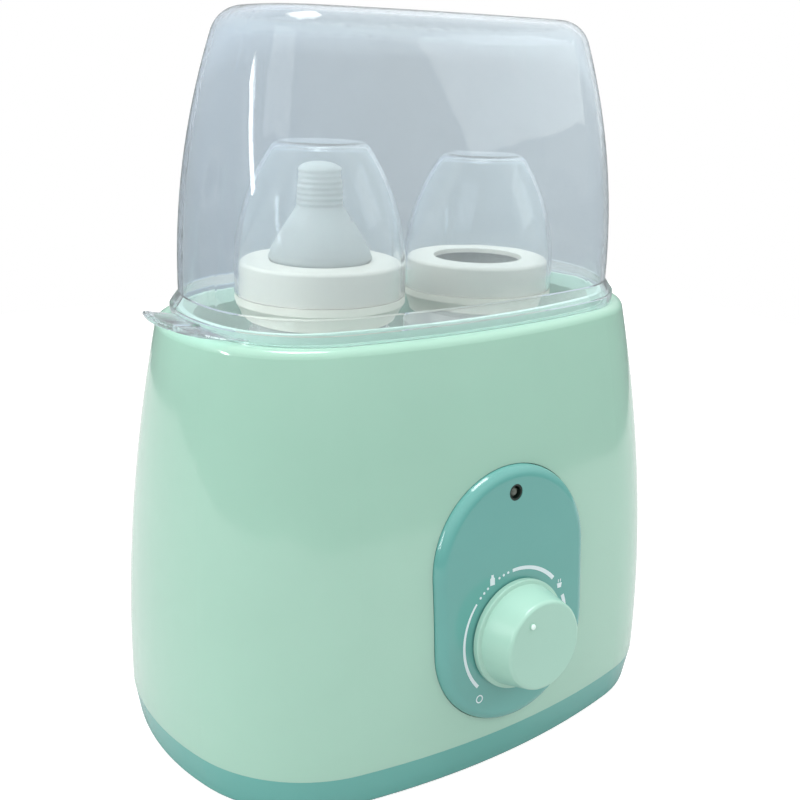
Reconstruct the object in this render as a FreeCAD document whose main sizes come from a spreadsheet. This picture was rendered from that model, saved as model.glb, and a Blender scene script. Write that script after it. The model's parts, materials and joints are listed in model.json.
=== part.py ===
"""Two-bottle baby bottle warmer: barrel-shaped housing, water tank, clear lid, dial and two bottles.

Frame: origin at the middle of the base rim's underside, +Z up, +X along the body, -Y towards
the control panel. Millimetres.
"""

import FreeCAD
import Part
import math
import os
from collections import namedtuple

import Sketcher
from FreeCAD import Placement, Rotation, Vector

# Driving dimensions in millimetres and degrees; ratios have no unit.
DIMENSIONS = {
    # housing outside
    "top_height": 183.0,
    "bulge_height": 20.0,
    "seam_height": 16.3,
    "bulge_length": 245.0,
    "bulge_width": 170.4,
    "top_length": 212.6,
    "top_width": 123.8,
    "base_length": 240.0,
    "base_width": 165.2,
    "front_turn": 12.0,
    "corner_turn": 75.0,
    "base_corner": 0.71,
    "top_corner": 0.80,
    "wall": 2.5,
    "top_plate": 4.0,
    "top_edge_round": 4.0,
    "mouth_inset": 11.3,
    "rebate_inset": 7.8,
    "rebate_depth": 1.6,
    # base pan
    "rim_recess": 3.0,
    "floor_thickness": 2.5,
    "base_edge_round": 2.0,
    "tongue_height": 3.6,
    "tongue_thickness": 1.4,
    "seam_gap": 0.3,
    "post_along": 94.0,
    "post_across": 53.0,
    "post_radius": 5.0,
    "post_top": 20.6,
    "boss_length": 24.0,
    "rib_reach": 107.0,
    "rib_thickness": 2.4,
    "screw_radius": 1.5,
    "screw_gap": 0.3,
    "screw_head_radius": 3.2,
    "screw_head_height": 2.4,
    "screw_reach": 18.0,
    "foot_radius": 9.0,
    "foot_along": 72.0,
    "foot_across": 52.0,
    "vent_length": 46.0,
    "vent_width": 3.0,
    "vent_pitch": 9.0,
    "gland_height": 32.0,
    "gland_bore_radius": 3.5,
    "gland_hole_radius": 5.6,
    # water tank
    "tank_floor_height": 60.0,
    "tank_floor_thickness": 4.5,
    "tank_floor_length": 176.0,
    "tank_floor_width": 95.0,
    "tank_corner": 0.80,
    "tank_wall": 2.2,
    "tank_gap": 0.3,
    "ridge_inset": 8.8,
    "ridge_thickness": 1.8,
    "ridge_height": 3.2,
    "plate_mouth_length": 116.0,
    "plate_mouth_width": 44.0,
    "plate_length": 136.0,
    "plate_width": 64.0,
    "plate_thickness": 2.2,
    "seal_thickness": 2.0,
    "plate_screw_along": 45.0,
    "plate_screw_across": 27.0,
    "plate_screw_radius": 1.4,
    "plate_head_radius": 2.8,
    "plate_head_height": 1.8,
    # heater under the plate
    "heater_length": 92.0,
    "heater_width": 20.0,
    "heater_height": 6.0,
    "clamp_thickness": 1.0,
    "clamp_length": 16.0,
    "clamp_foot": 9.0,
    "stud_radius": 1.5,
    "clamp_nut_flats": 5.5,
    "clamp_nut_thickness": 2.4,
    "cutoff_along": 55.0,
    "cutoff_radius": 8.0,
    "bulb_radius": 2.5,
    "bulb_length": 64.0,
    "bulb_across": -24.0,
    "capillary_radius": 0.8,
    "wire_radius": 1.1,
    "lamp_wire_radius": 0.6,
    "block_across": 51.0,
    "block_half_length": 18.0,
    "block_half_width": 7.0,
    "block_height": 13.0,
    "block_pitch": 11.0,
    # control panel: a stadium that leans back with the housing
    "panel_lean": 5.9,
    "panel_front": 85.2,
    "knob_height": 62.3,
    "panel_half_width": 39.4,
    "panel_half_straight": 15.4,
    "panel_rise": 15.8,
    "panel_edge_round": 4.6,
    "panel_depth": 10.0,
    "panel_wall": 2.2,
    "panel_face": 2.4,
    "panel_gap": 0.2,
    "ear_reach": 43.3,
    "ear_low": 0.0,
    "ear_high": 32.0,
    "ear_radius": 3.6,
    "ear_thickness": 1.6,
    "ear_boss_radius": 2.8,
    "ear_boss_front": 5.2,
    "panel_screw_radius": 1.05,
    "lamp_rise": 60.1,
    "lamp_hole_radius": 3.4,
    "lamp_radius": 2.5,
    "board_thickness": 1.6,
    # thermostat and dial
    "bush_radius": 4.0,
    "shaft_radius": 3.0,
    "running_gap": 0.05,
    "flat_distance": 1.8,
    "thermostat_width": 30.0,
    "thermostat_back": 20.0,
    "nut_flats": 12.0,
    "nut_thickness": 2.5,
    "knob_ring_radius": 23.3,
    "knob_ring_bottom": 0.6,
    "knob_ring_top": 3.0,
    "knob_root_radius": 21.6,
    "knob_face_radius": 18.6,
    "knob_face_height": 17.2,
    "knob_wall": 2.2,
    "pointer_turn": 34.0,
    "pointer_reach": 12.6,
    "pointer_radius": 1.3,
    "pointer_height": 0.7,
    "knob_hub_radius": 5.6,
    "knob_hub_foot": 5.6,
    # lid
    "lid_length": 193.2,
    "lid_width": 109.2,
    "lid_bow_radius": 384.0,
    "lid_end_radius": 86.3,
    "lid_corner_radius": 43.7,
    "lid_wall": 1.8,
    "lid_wall_bottom": 192.0,
    "lid_top": 296.2,
    "lid_draw": 19.2,
    "lid_draw_power": 2.1,
    "lid_top_round": 13.0,
    "flange_step": 3.6,
    "flange_height": 4.4,
    "tab_pivot": 70.0,
    "tab_reach": 44.5,
    "tab_angle": 35.0,
    "tab_thickness": 2.8,
    "tab_tip_thickness": 2.2,
    "tab_lift": 3.0,
    # bottles
    "bottle_along": 46.4,
    "bottle_across": 7.3,
    "bottle_radius": 31.8,
    "bottle_wall": 1.6,
    "neck_radius": 27.6,
    "collar_radius": 31.6,
    "collar_ledge_radius": 33.5,
    "collar_ledge_drop": 12.7,
    "collar_drop": 23.7,
    "collar_foot_radius": 30.2,
    "collar_bore": 28.3,
    "collar_top_thickness": 2.0,
    "collar_hole_radius": 19.8,
    "left_collar_top": 206.0,
    "right_collar_top": 198.0,
    "cap_height": 56.8,
    "cap_radius": 33.5,
    "cap_wall": 1.5,
    "cap_straight": 8.0,
    "cap_bend_radius": 82.4,
    "cap_top_round": 6.0,
    "teat_flange": 1.8,
    "teat_flange_radius": 25.0,
    "teat_root_radius": 19.3,
    "teat_stem_radius": 7.6,
    "teat_wall": 1.5,
}

HEIGHT_TOLERANCE = 0.01
SHEET = "dims"
Outline = namedtuple("Outline", "half_length half_width front_radius end_radius corner_radius")

doc = FreeCAD.newDocument("bottle_warmer")
parts = []


def make_sheet():
    """Put every driving dimension into the spreadsheet, one alias per row."""
    table = doc.addObject("Spreadsheet::Sheet", SHEET)
    for row, (alias, value) in enumerate(DIMENSIONS.items(), start=1):
        table.set(f"A{row}", alias)
        table.set(f"B{row}", str(value))
        table.setAlias(f"B{row}", alias)
    doc.recompute()
    return table


sheet = make_sheet()


def dim(name):
    """The expression that reads one driving dimension."""
    return f"{SHEET}.{name}"


def number(expression):
    """The present value of an expression."""
    return float(sheet.evalExpression(str(expression)))


# ---------------------------------------------------------------- helpers for bodies and sketches


def new_body(label, compound=False):
    """A body for one sub-part; a compound body holds several equal solids."""
    body = doc.addObject("PartDesign::Body", label)
    body.Label = label
    body.AllowCompound = compound
    parts.append(body)
    return body


def origin_part(body, role):
    """The body's own origin plane or axis with this role."""
    return next(item for item in body.Origin.OriginFeatures if item.Role == role)


def new_sketch(body, label, role="XY_Plane", height="0", shift="0"):
    """A sketch on an origin plane, raised by height along its normal and shifted along its x."""
    sketch = body.newObject("Sketcher::SketchObject", label)
    sketch.AttachmentSupport = [(origin_part(body, role), "")]
    sketch.MapMode = "FlatFace"
    sketch.setExpression("AttachmentOffset.Base.z", str(height))
    sketch.setExpression("AttachmentOffset.Base.x", str(shift))
    return sketch


def bind(sketch, constraint, expression):
    """Add a dimensional constraint that follows an expression."""
    index = sketch.addConstraint(constraint)
    sketch.setExpression(f"Constraints[{index}]", str(expression))


def hold_point(sketch, geometry, position, across, up):
    """Fix a point's two coordinates; a zero coordinate lies on the axis."""
    for kind, axis, expression in (("DistanceX", -2, across), ("DistanceY", -1, up)):
        value = number(expression)
        if abs(value) < 1e-9:
            sketch.addConstraint(Sketcher.Constraint("PointOnObject", geometry, position, axis))
        else:
            constraint = Sketcher.Constraint(kind, -1, 1, geometry, position, value)
            bind(sketch, constraint, expression)


def inset(outline, amount):
    """The same outline moved inwards by an amount; its arcs keep their centres."""
    return Outline(*[f"({size} - {amount})" for size in outline])


def oval_arcs(outline):
    """The eight arcs of an outline, anticlockwise from the front: centre, radius, start, end."""
    a, b, front, end, corner = [number(size) for size in outline]
    front_centre = Vector(0, front - b, 0)
    end_centre = Vector(a - end, 0, 0)
    between = end_centre - front_centre
    reach_front = front - corner
    reach_end = end - corner
    span = between.Length
    along = (reach_front**2 - reach_end**2 + span**2) / (2 * span)
    off = math.sqrt(reach_front**2 - along**2)
    unit = between / span
    sideways = Vector(unit.y, -unit.x, 0) * off
    crossings = [front_centre + unit * along + sideways * side for side in (1, -1)]
    centre = max(crossings, key=lambda point: point.x)
    low = math.atan2(centre.y - front_centre.y, centre.x)
    high = math.atan2(centre.y, centre.x - end_centre.x)
    half_turn = math.pi
    return [
        (front_centre, front, -half_turn - low, low),
        (centre, corner, low, high),
        (end_centre, end, high, -high),
        (Vector(centre.x, -centre.y, 0), corner, -high, -low),
        (-front_centre, front, -low, half_turn + low),
        (-centre, corner, half_turn + low, half_turn + high),
        (-end_centre, end, half_turn + high, half_turn - high),
        (Vector(-centre.x, centre.y, 0), corner, half_turn - high, half_turn - low),
    ]


def add_oval(sketch, outline):
    """Draw an outline as eight tangent arcs held by its five sizes."""
    first = sketch.GeometryCount
    for centre, radius, start, end in oval_arcs(outline):
        circle = Part.Circle(centre, Vector(0, 0, 1), radius)
        sketch.addGeometry(Part.ArcOfCircle(circle, start, end))
    arcs = [first + step for step in range(8)]
    for this, following in zip(arcs, arcs[1:] + arcs[:1]):
        sketch.addConstraint(Sketcher.Constraint("Tangent", this, 2, following, 1))
    a, b, front, end, corner = outline
    front_offset = f"({front} - {b})"
    end_offset = f"({a} - {end})"
    hold_point(sketch, arcs[0], 3, "0", front_offset)
    hold_point(sketch, arcs[4], 3, "0", f"(-{front_offset})")
    hold_point(sketch, arcs[2], 3, end_offset, "0")
    hold_point(sketch, arcs[6], 3, f"(-{end_offset})", "0")
    for this, other in ((0, 4), (2, 6), (1, 3), (1, 5), (1, 7)):
        sketch.addConstraint(Sketcher.Constraint("Equal", arcs[this], arcs[other]))
    for index, size in ((0, front), (2, end), (1, corner)):
        bind(sketch, Sketcher.Constraint("Radius", arcs[index], number(size)), size)


def oval_sketch(body, label, outlines, height):
    """A level sketch of one outline, or of a ring between two."""
    sketch = new_sketch(body, label, height=height)
    for outline in outlines:
        add_oval(sketch, outline)
    return sketch


def add_circles(sketch, centres, radius):
    """Add equal circles to a sketch."""
    for across, up in centres:
        centre = Vector(number(across), number(up), 0)
        index = sketch.addGeometry(Part.Circle(centre, Vector(0, 0, 1), number(radius)))
        hold_point(sketch, index, 3, across, up)
        bind(sketch, Sketcher.Constraint("Radius", index, number(radius)), radius)


def circle_sketch(body, label, centres, radius, height="0"):
    """A level sketch of equal circles."""
    sketch = new_sketch(body, label, height=height)
    add_circles(sketch, centres, radius)
    return sketch


def arc_between(start, end, radius, side):
    """The anticlockwise arc that bends to the left (side 1) or right (-1) of the way to the end."""
    way = end - start
    half = way.Length / 2
    sagitta = radius - math.sqrt(radius**2 - half**2)
    normal = Vector(-way.y, way.x, 0).normalize()
    middle = (start + end) / 2 + normal * sagitta * side
    if side > 0:
        return Part.Arc(end, middle, start)
    return Part.Arc(start, middle, end)


def add_profile(sketch, corners, bends=None):
    """Draw a closed profile through its corners; bends names the segments that are arcs."""
    bends = bends or {}
    points = [Vector(number(across), number(up), 0) for across, up in corners]
    first = sketch.GeometryCount
    count = len(points)
    ends = []
    for step in range(count):
        start, end = points[step], points[(step + 1) % count]
        if step in bends:
            radius, side = bends[step]
            arc = arc_between(start, end, number(radius), side)
            index = sketch.addGeometry(arc)
            drawn = sketch.Geometry[index]
            forward = (drawn.StartPoint - start).Length < (drawn.EndPoint - start).Length
            ends.append((1, 2) if forward else (2, 1))
            bind(sketch, Sketcher.Constraint("Radius", index, number(radius)), radius)
        else:
            sketch.addGeometry(Part.LineSegment(start, end))
            ends.append((1, 2))
    for step in range(count):
        following = (step + 1) % count
        constraint = Sketcher.Constraint(
            "Coincident", first + step, ends[step][1], first + following, ends[following][0]
        )
        sketch.addConstraint(constraint)
        hold_point(sketch, first + step, ends[step][0], *corners[step])


def profile_sketch(body, label, corners, bends=None, role="XZ_Plane", height="0", shift="0"):
    """A sketch of one closed profile."""
    sketch = new_sketch(body, label, role, height, shift)
    add_profile(sketch, corners, bends)
    return sketch


def box_corners(low_across, low_up, high_across, high_up):
    """The four corners of an upright rectangle."""
    return [
        (low_across, low_up),
        (high_across, low_up),
        (high_across, high_up),
        (low_across, high_up),
    ]


def stadium_corners(half_width, half_straight, rise="0"):
    """Corners and bends of a stadium that stands upright about a raised centre."""
    low = f"({rise} - {half_straight})"
    high = f"({rise} + {half_straight})"
    corners = [
        (half_width, low),
        (half_width, high),
        ("0", f"({high} + {half_width})"),
        (f"(-{half_width})", high),
        (f"(-{half_width})", low),
        ("0", f"({low} - {half_width})"),
    ]
    bends = {step: (half_width, -1) for step in (1, 2, 4, 5)}
    return corners, bends


def lying_stadium(length, width):
    """Corners and bends of a stadium that lies along X."""
    radius = f"({width} / 2)"
    reach = f"({length} / 2 - {radius})"
    corners = [
        (f"(-{reach})", f"(-{radius})"),
        (reach, f"(-{radius})"),
        (f"({reach} + {radius})", "0"),
        (reach, radius),
        (f"(-{reach})", radius),
        (f"(-{reach} - {radius})", "0"),
    ]
    bends = {step: (radius, -1) for step in (1, 2, 4, 5)}
    return corners, bends


def changed_volume(body, before, grows):
    """Stop if a feature left the solid's volume as it was, or changed it the wrong way."""
    doc.recompute()
    after = body.Shape.Volume
    sound = after > 0 and body.Shape.isValid()
    if not sound or (after > before + 0.01) != grows or abs(after - before) < 0.01:
        raise RuntimeError(f"{body.Label}: {body.Tip.Label} changed {before:.2f} to {after:.2f}")


def add_feature(body, kind, label, grows, **properties):
    """Add a feature, set its properties and check that it adds or removes material."""
    doc.recompute()
    before = 0.0 if body.Shape.isNull() else body.Shape.Volume
    feature = body.newObject(f"PartDesign::{kind}", label)
    for name, value in properties.items():
        if isinstance(value, str) and name in ("Length", "Angle", "Radius", "Size"):
            feature.setExpression(name, value)
        else:
            setattr(feature, name, value)
    changed_volume(body, before, grows)
    return feature


def pad(body, sketch, length, label="Pad"):
    """Raise a sketch along its normal."""
    return add_feature(body, "Pad", label, True, Profile=sketch, Length=length)


def pocket(body, sketch, length, label="Pocket"):
    """Cut a sketch away, against its normal."""
    return add_feature(body, "Pocket", label, False, Profile=sketch, Length=length)


def loft(body, sketches, label="Loft", cut=False, ruled=False):
    """Join level sketches, given from the lowest up, into a solid, or cut that solid away."""
    kind = "SubtractiveLoft" if cut else "AdditiveLoft"
    top, *rest = reversed(sketches)
    return add_feature(body, kind, label, not cut, Profile=top, Sections=rest, Ruled=ruled)


def turn(body, sketch, label="Turn", cut=False, angle="360", midplane=False):
    """Turn a profile about its sketch's upright axis, as material or as a cut."""
    kind = "Groove" if cut else "Revolution"
    axis = (sketch, ["V_Axis"])
    return add_feature(
        body, kind, label, not cut, Profile=sketch, ReferenceAxis=axis, Angle=angle, Midplane=midplane
    )


def level_edges(body, height, keep=None):
    """Names of the edges that lie at one height in the body's own frame, as far as keep allows."""
    names = []
    for index, edge in enumerate(body.Tip.Shape.Edges, start=1):
        box = edge.BoundBox
        level = max(abs(box.ZMin - height), abs(box.ZMax - height)) < HEIGHT_TOLERANCE
        if level and (keep is None or keep(edge)):
            names.append(f"Edge{index}")
    return names


def round_edges(body, names, radius, label="Round"):
    """Fillet the named edges of the body's last feature."""
    base = body.Tip
    doc.recompute()
    before = body.Shape.Volume
    feature = body.newObject("PartDesign::Fillet", label)
    feature.Base = (base, names)
    feature.setExpression("Radius", radius)
    doc.recompute()
    change = abs(body.Shape.Volume - before) / before
    if not body.Shape.isValid() or not 0 < change < 0.2:
        raise RuntimeError(f"{body.Label}: {label} changed the volume by {change:.4f}")
    return feature


def hollow_out(body, open_height, wall):
    """Turn the solid into a skin of even thickness, open at its level face at one height."""
    base = body.Tip
    boxes = [face.BoundBox for face in base.Shape.Faces]
    names = [
        f"Face{index}"
        for index, box in enumerate(boxes, start=1)
        if max(abs(box.ZMin - open_height), abs(box.ZMax - open_height)) < HEIGHT_TOLERANCE
    ]
    before = body.Shape.Volume
    feature = body.newObject("PartDesign::Thickness", "Skin")
    feature.Base = (base, names)
    feature.setExpression("Value", wall)
    feature.Reversed = True
    changed_volume(body, before, False)


def place(body, across="0", along="0", up="0"):
    """Bind a body's position to expressions."""
    for axis, expression in zip("xyz", (across, along, up)):
        body.setExpression(f"Placement.Base.{axis}", str(expression))


def place_on_panel(body):
    """Stand a body on the panel's face: its z points out of the face, its y up along it."""
    body.Placement = Placement(Vector(0, 0, 0), Rotation(Vector(1, 0, 0), 90))
    body.setExpression("Placement.Base.y", f"(-{dim('panel_front')})")
    body.setExpression("Placement.Base.z", dim("knob_height"))
    body.setExpression("Placement.Rotation.Angle", f"(90 - {dim('panel_lean')})")


def panel_sketch_in_housing(body, label, depth):
    """A sketch in the housing, parallel to the panel's face and this deep behind it."""
    sketch = body.newObject("Sketcher::SketchObject", label)
    sketch.AttachmentSupport = [(origin_part(body, "XZ_Plane"), "")]
    sketch.MapMode = "FlatFace"
    lean = dim("panel_lean")
    sketch.AttachmentOffset = Placement(Vector(0, 0, 0), Rotation(Vector(-1, 0, 0), number(lean)))
    sketch.setExpression("AttachmentOffset.Rotation.Angle", lean)
    sketch.setExpression(
        "AttachmentOffset.Base.y", f"({dim('knob_height')} - {depth} * sin({lean} * 1deg))"
    )
    sketch.setExpression(
        "AttachmentOffset.Base.z", f"({dim('panel_front')} - {depth} * cos({lean} * 1deg))"
    )
    return sketch


def four_corners(across, along):
    """Four mirrored positions."""
    return [(f"({sx} * {across})", f"({sy} * {along})") for sx in (1, -1) for sy in (1, -1)]


# ---------------------------------------------------------------- outlines


def even_outline(half_length, half_width, corner_radius):
    """An outline whose arcs join at the two set turns, so that stacked outlines blend smoothly."""
    sin_1, cos_1 = f"sin({dim('front_turn')} * 1deg)", f"cos({dim('front_turn')} * 1deg)"
    sin_2, cos_2 = f"sin({dim('corner_turn')} * 1deg)", f"cos({dim('corner_turn')} * 1deg)"
    along = f"({half_length} - {corner_radius} * ({sin_2} - {sin_1}))"
    across = f"({half_width} - {corner_radius} * ({cos_1} - {cos_2}))"
    scale = f"({sin_1} * {cos_2} - (1 - {sin_2}) * (1 - {cos_1}))"
    front = f"(({along} * {cos_2} - {across} * (1 - {sin_2})) / {scale})"
    end = f"(({across} * {sin_1} - {along} * (1 - {cos_1})) / {scale})"
    return Outline(half_length, half_width, front, end, corner_radius)


def housing_outline(height):
    """The housing's outline at a height: widest at the bulge, drawing in towards the top."""
    bulge, top = dim("bulge_height"), dim("top_height")
    rise = f"(({height} - {bulge}) / ({top} - {bulge}))"
    drop_length = f"({dim('bulge_length')} - {dim('top_length')})"
    drop_width = f"({dim('bulge_width')} - {dim('top_width')})"
    half_length = f"(({dim('bulge_length')} - {drop_length} * {rise}^2) / 2)"
    half_width = f"(({dim('bulge_width')} - {drop_width} * {rise}^2) / 2)"
    corner_change = f"({dim('top_corner')} - {dim('base_corner')})"
    corner = f"({dim('base_corner')} + {corner_change} * {height} / {top})"
    return even_outline(half_length, half_width, f"({half_width} * {corner})")


def base_outline():
    """The outline of the base rim on the table."""
    half_width = f"({dim('base_width')} / 2)"
    corner = f"({half_width} * {dim('base_corner')})"
    return even_outline(f"({dim('base_length')} / 2)", half_width, corner)


def tank_floor_outline():
    """The tank's outer outline at its floor."""
    half_width = f"({dim('tank_floor_width')} / 2)"
    corner = f"({half_width} * {dim('tank_corner')})"
    return even_outline(f"({dim('tank_floor_length')} / 2)", half_width, corner)


def lid_outline():
    """The lid wall's outer outline at its foot."""
    return Outline(
        f"({dim('lid_length')} / 2)",
        f"({dim('lid_width')} / 2)",
        dim("lid_bow_radius"),
        dim("lid_end_radius"),
        dim("lid_corner_radius"),
    )


TOP = dim("top_height")
SEAM = dim("seam_height")
RIM = housing_outline(TOP)
POSTS = four_corners(dim("post_along"), dim("post_across"))
FLOOR_TOP = f"({dim('rim_recess')} + {dim('floor_thickness')})"
TANK_FLOOR_TOP = f"({dim('tank_floor_height')} + {dim('tank_floor_thickness')})"
PLATE_TOP = f"({dim('tank_floor_height')} - {dim('seal_thickness')})"
PLATE_BOTTOM = f"({PLATE_TOP} - {dim('plate_thickness')})"
PLATE_SCREWS = four_corners(dim("plate_screw_along"), dim("plate_screw_across"))
CLAMP_ACROSS = f"({dim('heater_width')} / 2 + {dim('clamp_thickness')} + {dim('clamp_foot')} / 2)"
CLAMP_STUDS = [("0", CLAMP_ACROSS), ("0", f"(-{CLAMP_ACROSS})")]
EARS = [
    (f"({side} * {dim('ear_reach')})", dim(level))
    for side in (1, -1)
    for level in ("ear_low", "ear_high")
]


# ---------------------------------------------------------------- housing


def make_outer_shell():
    """The glossy housing: a barrel wall with a rolled top, the tank's mouth and the panel's hole."""
    body = new_body("outer_shell")
    ceiling = f"({TOP} - {dim('top_plate')})"
    steps = 5
    outer = [f"({SEAM} + ({TOP} - {SEAM}) * {step} / {steps})" for step in range(steps + 1)]
    inner = [f"({SEAM} + ({ceiling} - {SEAM}) * {step} / {steps})" for step in range(steps + 1)]
    outside = [
        oval_sketch(body, f"outside_{step}", [housing_outline(height)], height)
        for step, height in enumerate(outer)
    ]
    loft(body, outside, "Barrel")
    round_edges(body, level_edges(body, number(TOP)), dim("top_edge_round"), "TopEdge")
    inside = [
        oval_sketch(body, f"inside_{step}", [inset(housing_outline(height), dim("wall"))], height)
        for step, height in enumerate(inner)
    ]
    loft(body, inside, "Hollow", cut=True)
    mouth = oval_sketch(body, "mouth", [inset(RIM, dim("mouth_inset"))], TOP)
    pocket(body, mouth, f"({dim('top_plate')} + 1)", "Mouth")
    rebate = oval_sketch(body, "rebate", [inset(RIM, dim("rebate_inset"))], TOP)
    pocket(body, rebate, dim("rebate_depth"), "Rebate")
    ribs = new_sketch(body, "ribs", height=dim("post_top"))
    for along, across in POSTS:
        end = f"({along} / {dim('post_along')} * {dim('rib_reach')})"
        low, high = (f"({across} {sign} {dim('rib_thickness')} / 2)" for sign in "-+")
        sides = (along, end) if number(end) > 0 else (end, along)
        add_profile(ribs, box_corners(sides[0], low, sides[1], high))
    pad(body, ribs, dim("boss_length"), "Ribs")
    bosses = circle_sketch(body, "bosses", POSTS, dim("post_radius"), dim("post_top"))
    pad(body, bosses, dim("boss_length"), "Bosses")
    pilot_radius = f"({dim('screw_radius')} + {dim('running_gap')})"
    pilot_top = f"({dim('post_top')} + {dim('screw_reach')} + 1)"
    pilots = circle_sketch(body, "pilots", POSTS, pilot_radius, pilot_top)
    pocket(body, pilots, f"({dim('screw_reach')} + 1)", "Pilots")
    gap_width = f"({dim('panel_half_width')} + {dim('panel_gap')})"
    hole = panel_sketch_in_housing(body, "panel_hole", "(-5)")
    corners, bends = stadium_corners(gap_width, dim("panel_half_straight"), dim("panel_rise"))
    add_profile(hole, corners, bends)
    pocket(body, hole, "25", "PanelHole")
    ear_seat = f"({dim('panel_depth')} - {dim('ear_thickness')})"
    studs = panel_sketch_in_housing(body, "panel_bosses", ear_seat)
    add_circles(studs, EARS, dim("ear_boss_radius"))
    pad(body, studs, f"({ear_seat} - {dim('ear_boss_front')})", "PanelBosses")
    pins = panel_sketch_in_housing(body, "panel_pilots", "5.6")
    add_circles(pins, EARS, f"({dim('panel_screw_radius')} + {dim('running_gap')})")
    pocket(body, pins, "8", "PanelPilots")
    rear = new_sketch(body, "gland_hole", "XZ_Plane", "(-70)")
    add_circles(rear, [("0", dim("gland_height"))], dim("gland_hole_radius"))
    pocket(body, rear, "30", "GlandHole")


def make_base_pan():
    """The lower housing: skirt, raised floor, seam tongue, screw posts and vents."""
    body = new_body("base_pan")
    low = oval_sketch(body, "rim_line", [base_outline()], "0")
    high = oval_sketch(body, "seam_line", [housing_outline(SEAM)], SEAM)
    loft(body, [low, high], "Skirt", ruled=True)
    round_edges(body, level_edges(body, 0.0), dim("base_edge_round"), "BottomEdge")
    wall = dim("wall")
    tongue_outer = inset(housing_outline(SEAM), f"({wall} + {dim('seam_gap')})")
    tongue_inner = inset(tongue_outer, dim("tongue_thickness"))
    room_low = oval_sketch(body, "room_low", [inset(base_outline(), wall)], FLOOR_TOP)
    room_high = oval_sketch(body, "room_high", [tongue_inner], SEAM)
    loft(body, [room_low, room_high], "Room", cut=True, ruled=True)
    recess_inset = f"({wall} + {dim('base_edge_round')})"
    recess = oval_sketch(body, "recess", [inset(base_outline(), recess_inset)], dim("rim_recess"))
    pocket(body, recess, dim("rim_recess"), "Recess")
    tongue = oval_sketch(body, "tongue", [tongue_outer, tongue_inner], f"({SEAM} - 1)")
    pad(body, tongue, f"(1 + {dim('tongue_height')})", "Tongue")
    posts = circle_sketch(body, "posts", POSTS, dim("post_radius"), dim("rim_recess"))
    pad(body, posts, f"({dim('post_top')} - {dim('rim_recess')})", "Posts")
    shank = f"({dim('screw_radius')} + {dim('screw_gap')})"
    holes = circle_sketch(body, "screw_holes", POSTS, shank, dim("post_top"))
    pocket(body, holes, dim("post_top"), "ScrewHoles")
    head = f"({dim('screw_head_radius')} + {dim('screw_gap')})"
    sinks = circle_sketch(body, "screw_sinks", POSTS, head, f"({dim('post_top')} - 4)")
    pocket(body, sinks, dim("post_top"), "ScrewSinks")
    vent = profile_sketch(
        body,
        "vent",
        *lying_stadium(dim("vent_length"), dim("vent_width")),
        role="XY_Plane",
        height=FLOOR_TOP,
    )
    vent.setExpression("AttachmentOffset.Base.y", f"(-1.5 * {dim('vent_pitch')})")
    slot = pocket(body, vent, f"({dim('floor_thickness')} + 1)", "Vent")
    pattern = body.newObject("PartDesign::LinearPattern", "Vents")
    pattern.Originals = [slot]
    pattern.Direction = (origin_part(body, "Y_Axis"), [""])
    pattern.Length = 3 * number(dim("vent_pitch"))
    pattern.setExpression("Length", f"(3 * {dim('vent_pitch')})")
    pattern.Occurrences = 4
    before = body.Shape.Volume
    body.Tip = pattern
    changed_volume(body, before, False)


def make_base_screws():
    """Four screws that join the base pan to the housing's bosses."""
    body = new_body("base_screws", compound=True)
    seat = f"({dim('post_top')} - 4)"
    heads = circle_sketch(
        body, "heads", POSTS, dim("screw_head_radius"), f"({seat} - {dim('screw_head_height')})"
    )
    pad(body, heads, dim("screw_head_height"), "Heads")
    shanks = circle_sketch(body, "shanks", POSTS, dim("screw_radius"), seat)
    pad(body, shanks, f"(4 + {dim('screw_reach')})", "Shanks")


def make_rubber_feet():
    """Four rubber discs under the floor, level with the base rim."""
    body = new_body("rubber_feet", compound=True)
    places = four_corners(dim("foot_along"), dim("foot_across"))
    feet = circle_sketch(body, "feet", places, dim("foot_radius"))
    pad(body, feet, dim("rim_recess"), "Feet")


def make_cord_gland():
    """The rubber bushing in the rear wall that the mains cord passes through."""
    body = new_body("cord_gland")
    rear = f"({dim('bulge_width')} / 2)"
    wall_in = f"({dim('wall')} + 0.6)"
    bore = dim("gland_bore_radius")
    neck = f"({dim('gland_hole_radius')} - 0.2)"
    corners = [
        (bore, "(-5)"),
        (f"({bore} + 5)", "(-5)"),
        (f"({bore} + 5)", f"(-{wall_in})"),
        (neck, f"(-{wall_in})"),
        (neck, "0.15"),
        (f"({bore} + 4.5)", "0.15"),
        (f"({bore} + 3.5)", "2"),
        (bore, "2"),
    ]
    turn(body, profile_sketch(body, "gland", corners), "Gland")
    body.Placement = Placement(Vector(0, 0, 0), Rotation(Vector(1, 0, 0), -90))
    place(body, "0", rear, dim("gland_height"))


# ---------------------------------------------------------------- water tank and heater


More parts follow.
